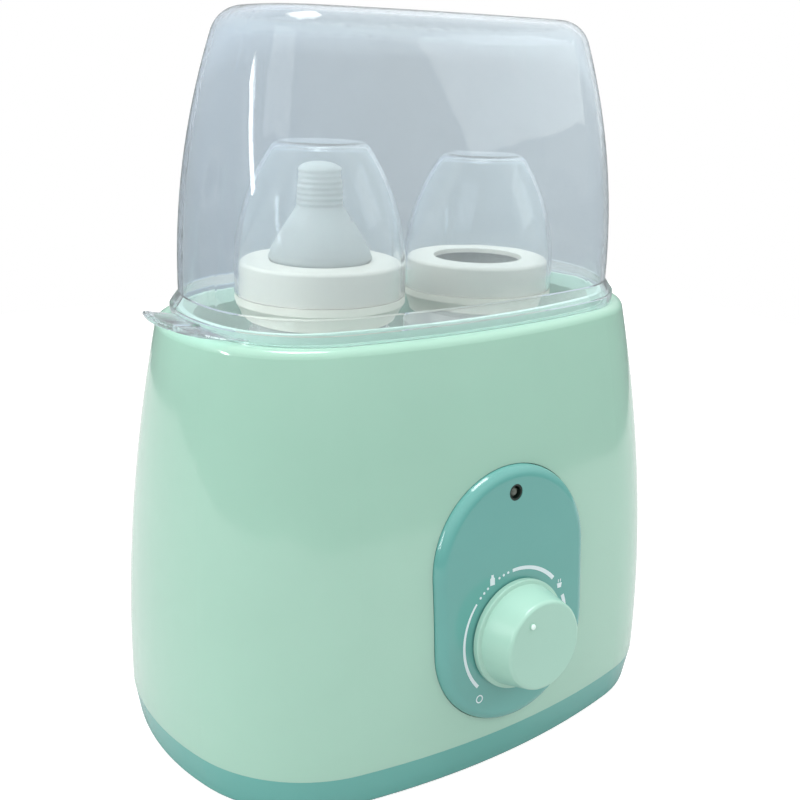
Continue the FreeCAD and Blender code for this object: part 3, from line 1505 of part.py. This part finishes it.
def main():
    """Build every sub-part and write it."""
    left, right = dim("left_collar_top"), dim("right_collar_top")
    make_outer_shell()
    make_base_pan()
    make_base_screws()
    make_rubber_feet()
    make_cord_gland()
    make_water_tank()
    stadium_plate("plate_seal", dim("tank_floor_height"), dim("seal_thickness"), mouth=True)
    make_heating_plate()
    make_plate_screws()
    make_heater()
    make_heater_clamp()
    make_clamp_nuts()
    make_thermal_cutoff()
    make_sensor_bulb()
    make_control_panel()
    make_panel_screws()
    make_thermostat()
    make_shaft_nut()
    make_thermostat_shaft()
    make_knob()
    make_lamp_bezel()
    make_indicator_lamp()
    make_lamp_board()
    make_terminal_block()
    make_wiring()
    make_lid()
    make_bottle("bottle_left", -1, left, dim("teat_flange"))
    make_collar("collar_left", -1, left)
    make_teat(left)
    make_cap("cap_left", -1, left)
    make_bottle("bottle_right", 1, right, "0")
    make_collar("collar_right", 1, right)
    make_cap("cap_right", 1, right)
    check_parts()
    write_parts()


main()
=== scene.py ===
"""Bottle warmer: materials, surface detail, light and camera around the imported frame."""

import json
import math

import bmesh
import bpy
from mathutils import Matrix, Vector


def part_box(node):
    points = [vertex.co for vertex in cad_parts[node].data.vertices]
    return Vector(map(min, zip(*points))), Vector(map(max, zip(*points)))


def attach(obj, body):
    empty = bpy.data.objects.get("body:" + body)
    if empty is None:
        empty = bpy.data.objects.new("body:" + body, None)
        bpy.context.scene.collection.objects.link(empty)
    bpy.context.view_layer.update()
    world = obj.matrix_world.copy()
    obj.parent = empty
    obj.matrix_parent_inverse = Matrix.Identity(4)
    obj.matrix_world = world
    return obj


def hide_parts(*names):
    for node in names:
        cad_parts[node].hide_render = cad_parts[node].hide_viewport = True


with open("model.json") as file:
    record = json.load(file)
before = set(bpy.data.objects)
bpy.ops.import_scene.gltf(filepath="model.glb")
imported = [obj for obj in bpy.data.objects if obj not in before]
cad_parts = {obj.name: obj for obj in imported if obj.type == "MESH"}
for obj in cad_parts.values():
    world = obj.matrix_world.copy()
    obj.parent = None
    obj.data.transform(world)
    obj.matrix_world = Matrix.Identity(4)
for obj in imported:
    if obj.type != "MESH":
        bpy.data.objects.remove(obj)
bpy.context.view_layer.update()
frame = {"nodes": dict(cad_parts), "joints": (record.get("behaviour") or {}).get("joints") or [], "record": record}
scene = bpy.context.scene
nodes = frame["nodes"]


# ---------------------------------------------------------------- materials


def colour(red, green, blue):
    """An sRGB colour, 0 to 255, as linear RGBA."""
    parts = []
    for value in (red, green, blue):
        share = value / 255
        parts.append(share / 12.92 if share <= 0.04045 else ((share + 0.055) / 1.055) ** 2.4)
    return (*parts, 1.0)


def shade(rgba, factor):
    """The same colour, lighter or darker."""
    return (*[min(1.0, part * factor) for part in rgba[:3]], 1.0)


def moulded(name, rgba, roughness, grain, bump, mottle, swing, **sockets):
    """A moulded or metal surface: fine bump, slight mottling and a roughness that wanders."""
    material = bpy.data.materials.new(name)
    material.use_nodes = True
    tree = material.node_tree
    shader = tree.nodes["Principled BSDF"]
    place = tree.nodes.new("ShaderNodeTexCoord")
    broad = tree.nodes.new("ShaderNodeTexNoise")
    broad.inputs["Scale"].default_value = 22.0
    broad.inputs["Detail"].default_value = 4.0
    tree.links.new(place.outputs["Object"], broad.inputs["Vector"])
    tint = tree.nodes.new("ShaderNodeValToRGB")
    tint.color_ramp.elements[0].position = 0.3
    tint.color_ramp.elements[1].position = 0.7
    tint.color_ramp.elements[0].color = shade(rgba, 1 - mottle)
    tint.color_ramp.elements[1].color = shade(rgba, 1 + mottle)
    tree.links.new(broad.outputs["Fac"], tint.inputs["Fac"])
    tree.links.new(tint.outputs["Color"], shader.inputs["Base Color"])
    spread = tree.nodes.new("ShaderNodeMapRange")
    spread.inputs["To Min"].default_value = max(0.02, roughness - swing)
    spread.inputs["To Max"].default_value = roughness + swing
    tree.links.new(broad.outputs["Fac"], spread.inputs["Value"])
    tree.links.new(spread.outputs["Result"], shader.inputs["Roughness"])
    fine = tree.nodes.new("ShaderNodeTexNoise")
    fine.inputs["Scale"].default_value = grain
    fine.inputs["Detail"].default_value = 3.0
    tree.links.new(place.outputs["Object"], fine.inputs["Vector"])
    relief = tree.nodes.new("ShaderNodeBump")
    relief.inputs["Strength"].default_value = bump
    relief.inputs["Distance"].default_value = 0.0004
    tree.links.new(fine.outputs["Fac"], relief.inputs["Height"])
    tree.links.new(relief.outputs["Normal"], shader.inputs["Normal"])
    for socket, value in sockets.items():
        shader.inputs[socket.replace("_", " ")].default_value = value
    return material


MINT = colour(160, 200, 182)
TEAL = colour(98, 168, 160)

# Each surface: colour, roughness, grain, bump, mottle and swing, then the shader's other sockets.
materials = {
    "shell_mint": moulded(
        "shell_mint", MINT, 0.12, 260, 0.02, 0.015, 0.03, Coat_Weight=0.4, Coat_Roughness=0.04,
        Subsurface_Weight=0.15, Subsurface_Radius=(0.004, 0.006, 0.005), Subsurface_Scale=1.0,
    ),
    "base_teal": moulded("base_teal", TEAL, 0.22, 300, 0.03, 0.02, 0.04, Coat_Weight=0.2),
    "panel_teal": moulded("panel_teal", colour(97, 163, 156), 0.16, 300, 0.02, 0.02, 0.03, Coat_Weight=0.4),
    "knob_teal": moulded("knob_teal", colour(162, 202, 186), 0.24, 420, 0.04, 0.02, 0.04),
    "tank_mint": moulded("tank_mint", colour(186, 218, 205), 0.3, 500, 0.05, 0.02, 0.06),
    "lid_clear": moulded(
        "lid_clear", colour(232, 238, 241), 0.035, 160, 0.01, 0.01, 0.012, Transmission_Weight=0.93, IOR=1.42,
    ),
    "bottle_clear": moulded(
        "bottle_clear", colour(240, 243, 240), 0.12, 200, 0.02, 0.01, 0.02, Transmission_Weight=0.6, IOR=1.38,
    ),
    "cap_clear": moulded(
        "cap_clear", colour(244, 248, 249), 0.05, 200, 0.012, 0.008, 0.012,
        Transmission_Weight=0.95, IOR=1.34,
    ),
    "collar_white": moulded("collar_white", colour(242, 238, 226), 0.3, 500, 0.05, 0.015, 0.05),
    "teat_silicone": moulded(
        "teat_silicone", colour(228, 234, 232), 0.32, 700, 0.06, 0.02, 0.06,
        Transmission_Weight=0.6, IOR=1.38,
        Subsurface_Weight=0.3, Subsurface_Radius=(0.006, 0.007, 0.007), Subsurface_Scale=1.0,
    ),
    "foot_rubber": moulded("foot_rubber", colour(198, 202, 198), 0.75, 1500, 0.3, 0.06, 0.08),
    "gland_rubber": moulded("gland_rubber", colour(150, 168, 162), 0.7, 1500, 0.25, 0.06, 0.08),
    "seal_rubber": moulded("seal_rubber", colour(178, 84, 66), 0.65, 1500, 0.2, 0.06, 0.08),
    "plate_steel": moulded("plate_steel", colour(196, 198, 200), 0.3, 1400, 0.1, 0.05, 0.08, Metallic=1.0),
    "screw_steel": moulded("screw_steel", colour(178, 180, 184), 0.35, 1600, 0.15, 0.08, 0.08, Metallic=1.0),
    "clamp_steel": moulded("clamp_steel", colour(184, 186, 188), 0.38, 1200, 0.12, 0.06, 0.08, Metallic=1.0),
    "heater_aluminium": moulded(
        "heater_aluminium", colour(204, 206, 208), 0.42, 1000, 0.1, 0.05, 0.08, Metallic=1.0,
    ),
    "cutoff_dark": moulded("cutoff_dark", colour(34, 30, 30), 0.5, 1200, 0.15, 0.1, 0.08),
    "bulb_copper": moulded("bulb_copper", colour(196, 120, 84), 0.35, 900, 0.1, 0.1, 0.1, Metallic=1.0),
    "thermostat_case": moulded(
        "thermostat_case", colour(176, 178, 180), 0.4, 1100, 0.12, 0.06, 0.08, Metallic=1.0,
    ),
    "shaft_metal": moulded("shaft_metal", colour(202, 204, 206), 0.3, 1400, 0.1, 0.05, 0.06, Metallic=1.0),
    "bezel_black": moulded("bezel_black", colour(24, 40, 34), 0.4, 900, 0.1, 0.1, 0.08),
    "lamp_grey": moulded(
        "lamp_grey", colour(120, 128, 118), 0.15, 600, 0.03, 0.05, 0.05, Transmission_Weight=0.3,
    ),
    "board_green": moulded("board_green", colour(30, 84, 52), 0.35, 900, 0.1, 0.1, 0.08),
    "block_white": moulded("block_white", colour(226, 226, 220), 0.45, 1000, 0.1, 0.03, 0.08),
    "wire_brown": moulded("wire_brown", colour(98, 60, 40), 0.45, 900, 0.1, 0.06, 0.08),
    "wire_blue": moulded("wire_blue", colour(52, 84, 150), 0.45, 900, 0.1, 0.06, 0.08),
    "wire_red": moulded("wire_red", colour(160, 48, 40), 0.45, 900, 0.1, 0.06, 0.08),
    "wire_white": moulded("wire_white", colour(226, 226, 222), 0.45, 900, 0.1, 0.03, 0.08),
}
# The pale mint of the pointer dome is a painted highlight on the knob's own plastic, not a different material.
materials["pointer_painted_highlight"] = moulded("pointer_painted_highlight", colour(226, 248, 240), 0.2, 900, 0.03, 0.01, 0.04)
print_white = moulded("print_white", colour(218, 230, 234), 0.5, 1200, 0.05, 0.02, 0.05)


def let_lamps_through(material, tint):
    """Clear plastic that passes lamp light as a tint instead of shutting it out."""
    tree = material.node_tree
    shader = tree.nodes["Principled BSDF"]
    passed = tree.nodes.new("ShaderNodeBsdfTransparent")
    passed.inputs["Color"].default_value = (tint, tint, tint, 1)
    path = tree.nodes.new("ShaderNodeLightPath")
    mix = tree.nodes.new("ShaderNodeMixShader")
    tree.links.new(path.outputs["Is Shadow Ray"], mix.inputs["Fac"])
    tree.links.new(shader.outputs["BSDF"], mix.inputs[1])
    tree.links.new(passed.outputs["BSDF"], mix.inputs[2])
    tree.links.new(mix.outputs["Shader"], tree.nodes["Material Output"].inputs["Surface"])


for clear in ("lid_clear", "bottle_clear", "cap_clear"):
    let_lamps_through(materials[clear], 0.95)


def give(piece, material):
    """Put one material on every slot of a piece."""
    if piece.data.materials:
        for index in range(len(piece.data.materials)):
            piece.data.materials[index] = material
    else:
        piece.data.materials.append(material)


for entry in frame["record"]["subparts"]:
    give(nodes[entry["node"]], materials[entry["material_slot"]])


# ---------------------------------------------------------------- helpers for new pieces


def add_piece(name, vertices, faces, material, body, smooth=True):
    """A mesh piece that rides on a body."""
    mesh = bpy.data.meshes.new(name)
    mesh.from_pydata([tuple(v) for v in vertices], [], faces)
    mesh.validate()
    mesh.update()
    if smooth:
        mesh.shade_smooth()
    piece = bpy.data.objects.new(name, mesh)
    scene.collection.objects.link(piece)
    give(piece, material)
    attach(piece, body)
    return piece


def turned(profile, steps=96):
    """Vertices and faces of an open or closed profile (radius, height) turned about +Z."""
    vertices, faces = [], []
    for step in range(steps):
        angle = 2 * math.pi * step / steps
        for radius, height in profile:
            vertices.append((radius * math.cos(angle), radius * math.sin(angle), height))
    count = len(profile)
    for step in range(steps):
        following = (step + 1) % steps
        for index in range(count - 1):
            low, high = step * count + index, following * count + index
            faces.append((low, high, high + 1, low + 1))
    return vertices, faces


def weld(piece):
    """Join vertices that lie together and point every face outwards."""
    mesh = bmesh.new()
    mesh.from_mesh(piece.data)
    bmesh.ops.remove_doubles(mesh, verts=mesh.verts, dist=1e-6)
    bmesh.ops.recalc_face_normals(mesh, faces=mesh.faces)
    mesh.to_mesh(piece.data)
    mesh.free()


# ---------------------------------------------------------------- dial marks on the panel

joint = next(j for j in frame["joints"] if j["name"] == "knob_turn")
DIAL = Vector(joint["pos_m"])
OUT = Vector(joint["axis"]).normalized()
SIDE = Vector((1, 0, 0))
UP = OUT.cross(SIDE).normalized()
PRINT = 0.00006


def on_panel(across, up, out=0.0):
    """A point in the panel's own directions, from the dial's centre."""
    return DIAL + SIDE * across + UP * up + OUT * out


def flat_mark(name, outline):
    """A thin printed mark from a closed outline in panel directions."""
    count = len(outline)
    vertices = [on_panel(x, y, -PRINT / 2) for x, y in outline] + [on_panel(x, y, PRINT) for x, y in outline]
    faces = [tuple(range(count, 2 * count)), tuple(reversed(range(count)))]
    for index in range(count):
        following = (index + 1) % count
        faces.append((index, following, following + count, index + count))
    return add_piece(name, vertices, faces, print_white, "housing", smooth=False)


def dial_point(radius, degrees):
    """A point on the dial, degrees clockwise from the top as the user sees it."""
    turn = math.radians(degrees)
    return radius * math.sin(turn), radius * math.cos(turn)


def arc_mark(name, radius, start, end, width_start, width_end):
    """A printed arc whose width may change along it."""
    steps = max(4, int(abs(end - start) / 2))
    shares = [step / steps for step in range(steps + 1)]
    outer, inner = [], []
    for share in shares:
        spot = start + (end - start) * share
        half = (width_start + (width_end - width_start) * share) / 2
        outer.append(dial_point(radius + half, spot))
        inner.append(dial_point(radius - half, spot))
    return flat_mark(name, outer + inner[::-1])


def placed(outline, radius, degrees):
    """An outline drawn about a point on the dial, upright on the panel."""
    x, y = dial_point(radius, degrees)
    return [(x + across, y + up) for across, up in outline]


def ring_of(size, count=20):
    """A circle as an outline."""
    turns = [math.tau * k / count for k in range(count)]
    return [(size * math.cos(turn), size * math.sin(turn)) for turn in turns]


DIAL_RADIUS = 0.0276
BOTTLE_SPOT = (0.0288, -26)
CUP_SPOT = (0.0282, 59)
OFF_SPOT = (0.0312, -140)
arc_mark("mark_arc_keep", DIAL_RADIUS, -131, -49, 0.0015, 0.0009)
arc_mark("mark_arc_warm", DIAL_RADIUS, -4, 48, 0.0014, 0.0018)
arc_mark("mark_arc_high", DIAL_RADIUS, 70, 116, 0.0018, 0.0012)
for number, spot in enumerate((-43, -38, -33, -19, -14, -9)):
    flat_mark(f"mark_dot_{number}", placed(ring_of(0.00055), DIAL_RADIUS, spot))
BOTTLE = [
    (-1.2, -1.9), (1.2, -1.9), (1.2, 0.9), (0.6, 1.5), (0.6, 2.5), (-0.6, 2.5), (-0.6, 1.5), (-1.2, 0.9),
]
flat_mark("mark_bottle", placed([(x / 1000, y / 1000) for x, y in BOTTLE], *BOTTLE_SPOT))
CUP = [(-1.4, 0.7), (-1.0, -1.4), (1.0, -1.4), (1.4, 0.7)]
flat_mark("mark_cup", placed([(x / 1000, y / 1000) for x, y in CUP], *CUP_SPOT))
for number, shift in enumerate((-0.0006, 0.0006)):
    foot = [(shift - 0.0002, 0.0011), (shift + 0.0002, 0.0011)]
    wisp = foot + [(shift + 0.0003, 0.0024), (shift - 0.0001, 0.0024)]
    flat_mark(f"mark_wisp_{number}", placed(wisp, *CUP_SPOT))
off_outer = placed(ring_of(0.0018, 28), *OFF_SPOT)
off_inner = placed(ring_of(0.0013, 28), *OFF_SPOT)
flat_mark("mark_off", off_outer + off_outer[:1] + off_inner[:1] + off_inner[::-1])


# ---------------------------------------------------------------- teat, finger tab and pointer


def ribbed_teat():
    """The soft teat: flange under the ring, cone above it and a stem with fine rings."""
    low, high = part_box("teat_left")
    centre = (low + high) / 2
    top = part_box("collar_left")[1].z
    flange, neck, wall, sag = 0.0248, 0.0192, 0.0013, 0.0011
    stem_foot, stem_radius, stem_taper, ring_depth, tip_radius = 0.0196, 0.0092, 0.0012, 0.00026, 0.0082
    outer = [(flange, low.z), (flange, low.z + 0.0016), (neck, low.z + 0.0018), (neck, top + 0.0002)]
    cone = [
        (0.0202, 0.001), (0.0193, 0.0038), (0.0174, 0.0072), (0.0153, 0.0108),
        (0.0131, 0.0142), (0.0109, 0.0173), (0.0097, 0.0194),
    ]
    outer += [(radius, top + height) for radius, height in cone]
    rings, pitch = 7, 0.002
    for step in range(1, rings * 6 + 1):
        share = step / (rings * 6)
        ripple = ring_depth * math.cos(math.tau * rings * share)
        outer.append((stem_radius - stem_taper * share + ripple, top + stem_foot + rings * pitch * share))
    tip_low = outer[-1][1]
    reach = high.z - tip_low
    quarter = [math.pi / 2 * k / 10 for k in range(1, 11)]
    outer += [(tip_radius * math.cos(turn) ** 0.8, tip_low + reach * math.sin(turn)) for turn in quarter]
    outer[-1] = (0.0006, high.z)
    inner = [(max(0.0004, radius - wall), height - sag) for radius, height in outer[5:]][::-1]
    vertices, faces = turned(outer + inner + [(0.0179, low.z), (flange, low.z)])
    vertices = [Vector(v) + Vector((centre.x, centre.y, 0)) for v in vertices]
    silicone = materials["teat_silicone"]
    piece = add_piece("teat_ribbed", vertices, faces, silicone, "left_bottle")
    weld(piece)
    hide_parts("teat_left")


def pointer_highlight_dome():
    """The knob's pointer dome, coloured pale as a painted highlight where its gloss catches the light."""
    reach, degrees, top = 0.0126, -34, 0.0179
    x, y = dial_point(reach, degrees)
    radius, height = 0.00115, 0.0005
    profile = [(radius, -0.0003)]
    quarter = [math.pi / 2 * k / 8 for k in range(9)]
    profile += [(radius * math.cos(turn), height * math.sin(turn)) for turn in quarter]
    dome, faces = turned(profile, 28)
    vertices = [on_panel(x + across, y + up, top + out) for across, up, out in dome]
    piece = add_piece("pointer_highlight_dome", vertices, faces, materials["pointer_painted_highlight"], "dial")
    weld(piece)


TAB_REACH = 0.0445


def tab_beads():
    """Fine ribs under the lip of the lid's finger tab."""
    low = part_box("lid")[0]
    pivot = low.x + TAB_REACH
    reach, radius, depth = 0.0424, 0.0007, 0.0006
    vertices, faces = [], []
    quarter = [math.pi / 2 * k / 6 for k in range(7)]
    profile = [(radius, depth)] + [(radius * math.cos(turn), -radius * math.sin(turn)) for turn in quarter]
    for step in range(-5, 5):
        turn = math.radians(3.5 * step)
        x = pivot - reach * math.cos(turn)
        y = reach * math.sin(turn)
        bead, sides = turned(profile, 20)
        start = len(vertices)
        vertices += [Vector(v) + Vector((x, y, low.z + 0.0031)) for v in bead]
        faces += [tuple(start + corner for corner in side) for side in sides]
    piece = add_piece("tab_beads", vertices, faces, materials["lid_clear"], "lid")
    weld(piece)


def tab_fairing():
    """The finger tab's lip running on towards the front, narrower and lower until it meets the flange."""
    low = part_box("lid")[0]
    pivot = low.x + TAB_REACH
    lip = [(0.0300, 0.0001), (0.0439, 0.00303), (0.04447, 0.0043), (0.0437, 0.00517), (0.0300, 0.00277)]
    steps, first, last = 36, -17.5, -56.0
    vertices, faces, count = [], [], len(lip)
    for step in range(steps + 1):
        share = step / steps
        turn = math.radians(first + (last - first) * share)
        for reach, rise in lip:
            narrowed = lip[0][0] + (reach - lip[0][0]) * (1 - 0.6 * share ** 2)
            height = low.z + rise * (1 - 0.85 * share)
            vertices.append((pivot - narrowed * math.cos(turn), narrowed * math.sin(turn), height))
    for step in range(steps):
        near, far = step * count, (step + 1) * count
        faces += [(near + k, near + (k + 1) % count, far + (k + 1) % count, far + k) for k in range(count)]
    faces += [tuple(range(count)), tuple(steps * count + k for k in reversed(range(count)))]
    clear = materials["lid_clear"]
    piece = add_piece("tab_fairing", vertices, faces, clear, "lid", smooth=False)
    weld(piece)


ribbed_teat()
tab_beads()
tab_fairing()
pointer_highlight_dome()

# ---------------------------------------------------------------- floor, light, camera


def floor():
    """A plain white table top."""
    reach, steps = 0.85, 16
    mesh = bpy.data.meshes.new("floor")
    ticks = [reach * (2 * step / steps - 1) for step in range(steps + 1)]
    vertices = [(x, y, 0.0) for y in ticks for x in ticks]
    row = steps + 1
    corners = [j * row + i for j in range(steps) for i in range(steps)]
    mesh.from_pydata(vertices, [], [(c, c + 1, c + row + 1, c + row) for c in corners])
    white = (0.6, 0.6, 0.6, 1)
    paper = moulded("floor_white", white, 0.7, 60, 0.02, 0.004, 0.03, Emission_Color=white)
    path = paper.node_tree.nodes.new("ShaderNodeLightPath")
    shader = paper.node_tree.nodes["Principled BSDF"]
    lift = paper.node_tree.nodes.new("ShaderNodeMath")
    lift.operation = "MULTIPLY"
    lift.inputs[1].default_value = 1.2
    paper.node_tree.links.new(path.outputs["Is Camera Ray"], lift.inputs[0])
    paper.node_tree.links.new(lift.outputs["Value"], shader.inputs["Emission Strength"])
    mesh.materials.append(paper)
    piece = bpy.data.objects.new("floor", mesh)
    scene.collection.objects.link(piece)
    piece.location.z = -0.0002


def soft_light(name, centre, long_way, size, power, mirrored=True):
    """A rectangular soft light that faces the object, its longer side along a given way."""
    lamp = bpy.data.lights.new(name, "AREA")
    lamp.shape = "RECTANGLE"
    lamp.size, lamp.size_y = size
    lamp.energy = power
    holder = bpy.data.objects.new(name, lamp)
    scene.collection.objects.link(holder)
    holder.visible_glossy = mirrored
    back = (Vector(centre) - Vector((0, 0, 0.2))).normalized()
    across = Vector(long_way).cross(back).normalized()
    turn = Matrix((across, back.cross(across), back)).transposed()
    holder.matrix_world = Matrix.Translation(centre) @ turn.to_4x4()


def behind_clear_plastic(tree, place, split):
    """What clear plastic shows of the room: grey-blue, lighter to the right and towards the top."""
    across = tree.nodes.new("ShaderNodeVectorMath")
    across.operation = "DOT_PRODUCT"
    across.inputs[1].default_value = (0.809, -0.588, 0.0)
    tree.links.new(place.outputs["Generated"], across.inputs[0])
    sweep = tree.nodes.new("ShaderNodeMapRange")
    sweep.inputs["From Min"].default_value = -0.2
    sweep.inputs["From Max"].default_value = 0.2
    tree.links.new(across.outputs["Value"], sweep.inputs["Value"])
    haze = tree.nodes.new("ShaderNodeValToRGB")
    haze.color_ramp.elements[0].color = (0.44, 0.49, 0.56, 1)
    haze.color_ramp.elements[1].color = (0.62, 0.65, 0.68, 1)
    middle = haze.color_ramp.elements.new(0.5)
    middle.color = (0.50, 0.525, 0.555, 1)
    tree.links.new(sweep.outputs["Result"], haze.inputs["Fac"])
    rise = tree.nodes.new("ShaderNodeMapRange")
    rise.inputs["From Min"].default_value = 0.0
    rise.inputs["From Max"].default_value = 0.04
    rise.inputs["To Min"].default_value = 1.0
    rise.inputs["To Max"].default_value = 1.6
    tree.links.new(split.outputs["Z"], rise.inputs["Value"])
    through = tree.nodes.new("ShaderNodeBackground")
    tree.links.new(haze.outputs["Color"], through.inputs["Color"])
    tree.links.new(rise.outputs["Result"], through.inputs["Strength"])
    return through


def surround():
    """White where seen, a soft sky as light, and grey-blue where seen through clear plastic."""
    world = bpy.data.worlds.new("surround")
    scene.world = world
    world.use_nodes = True
    tree = world.node_tree
    shown = tree.nodes["Background"]
    shown.inputs["Color"].default_value = (1, 1, 1, 1)
    shown.inputs["Strength"].default_value = 1.0
    place = tree.nodes.new("ShaderNodeTexCoord")
    split = tree.nodes.new("ShaderNodeSeparateXYZ")
    tree.links.new(place.outputs["Generated"], split.inputs["Vector"])
    ramp = tree.nodes.new("ShaderNodeValToRGB")
    ramp.color_ramp.elements[0].position = 0.08
    ramp.color_ramp.elements[0].color = (0.26, 0.29, 0.29, 1)
    ramp.color_ramp.elements[1].position = 0.7
    ramp.color_ramp.elements[1].color = (1.2, 1.2, 1.2, 1)
    tree.links.new(split.outputs["Z"], ramp.inputs["Fac"])
    lit = tree.nodes.new("ShaderNodeBackground")
    lit.inputs["Strength"].default_value = 1.0
    tree.links.new(ramp.outputs["Color"], lit.inputs["Color"])
    path = tree.nodes.new("ShaderNodeLightPath")
    through = behind_clear_plastic(tree, place, split)
    undiffused = tree.nodes.new("ShaderNodeMath")
    undiffused.operation = "LESS_THAN"
    undiffused.inputs[1].default_value = 0.5
    tree.links.new(path.outputs["Diffuse Depth"], undiffused.inputs[0])
    straight = tree.nodes.new("ShaderNodeMath")
    straight.operation = "MULTIPLY"
    tree.links.new(path.outputs["Is Transmission Ray"], straight.inputs[0])
    tree.links.new(undiffused.outputs["Value"], straight.inputs[1])
    beyond = tree.nodes.new("ShaderNodeMixShader")
    tree.links.new(straight.outputs["Value"], beyond.inputs["Fac"])
    tree.links.new(lit.outputs["Background"], beyond.inputs[1])
    tree.links.new(through.outputs["Background"], beyond.inputs[2])
    mix = tree.nodes.new("ShaderNodeMixShader")
    tree.links.new(path.outputs["Is Camera Ray"], mix.inputs["Fac"])
    tree.links.new(beyond.outputs["Shader"], mix.inputs[1])
    tree.links.new(shown.outputs["Background"], mix.inputs[2])
    tree.links.new(mix.outputs["Shader"], tree.nodes["World Output"].inputs["Surface"])


def camera():
    """The camera at the photograph's viewing angle."""
    view = Vector((0.55443, 0.74586, -0.36918)).normalized()
    right = Vector((0.80888, -0.58729, 0.02827)).normalized()
    up = right.cross(view).normalized()
    lens = bpy.data.cameras.new("camera")
    lens.sensor_width = 36.0
    lens.lens = 47.54
    lens.shift_x = 0.0037
    lens.shift_y = 0.1018
    lens.clip_start = 0.01
    holder = bpy.data.objects.new("camera", lens)
    scene.collection.objects.link(holder)
    turn = Matrix((right, up, -view)).transposed()
    holder.matrix_world = Matrix.Translation((-0.26818, -0.36078, 0.27858)) @ turn.to_4x4()
    scene.camera = holder


floor()
surround()
soft_light("window", (-1.459, 0.157, 0.697), (0.222, 0.513, 0.498), (0.09, 0.75), 4.5)
soft_light("left", (-1.7, -0.7, 1.5), (0, 0, 1), (1.2, 1.2), 10, mirrored=False)
soft_light("right", (1.6, -1.2, 1.2), (0, 0, 1), (1.2, 1.0), 10, mirrored=False)
soft_light("top", (0.0, 0.1, 1.7), (0, 1, 0), (0.6, 0.5), 10.5)
camera()

scene.view_settings.view_transform = "Standard"
scene.view_settings.look = "None"
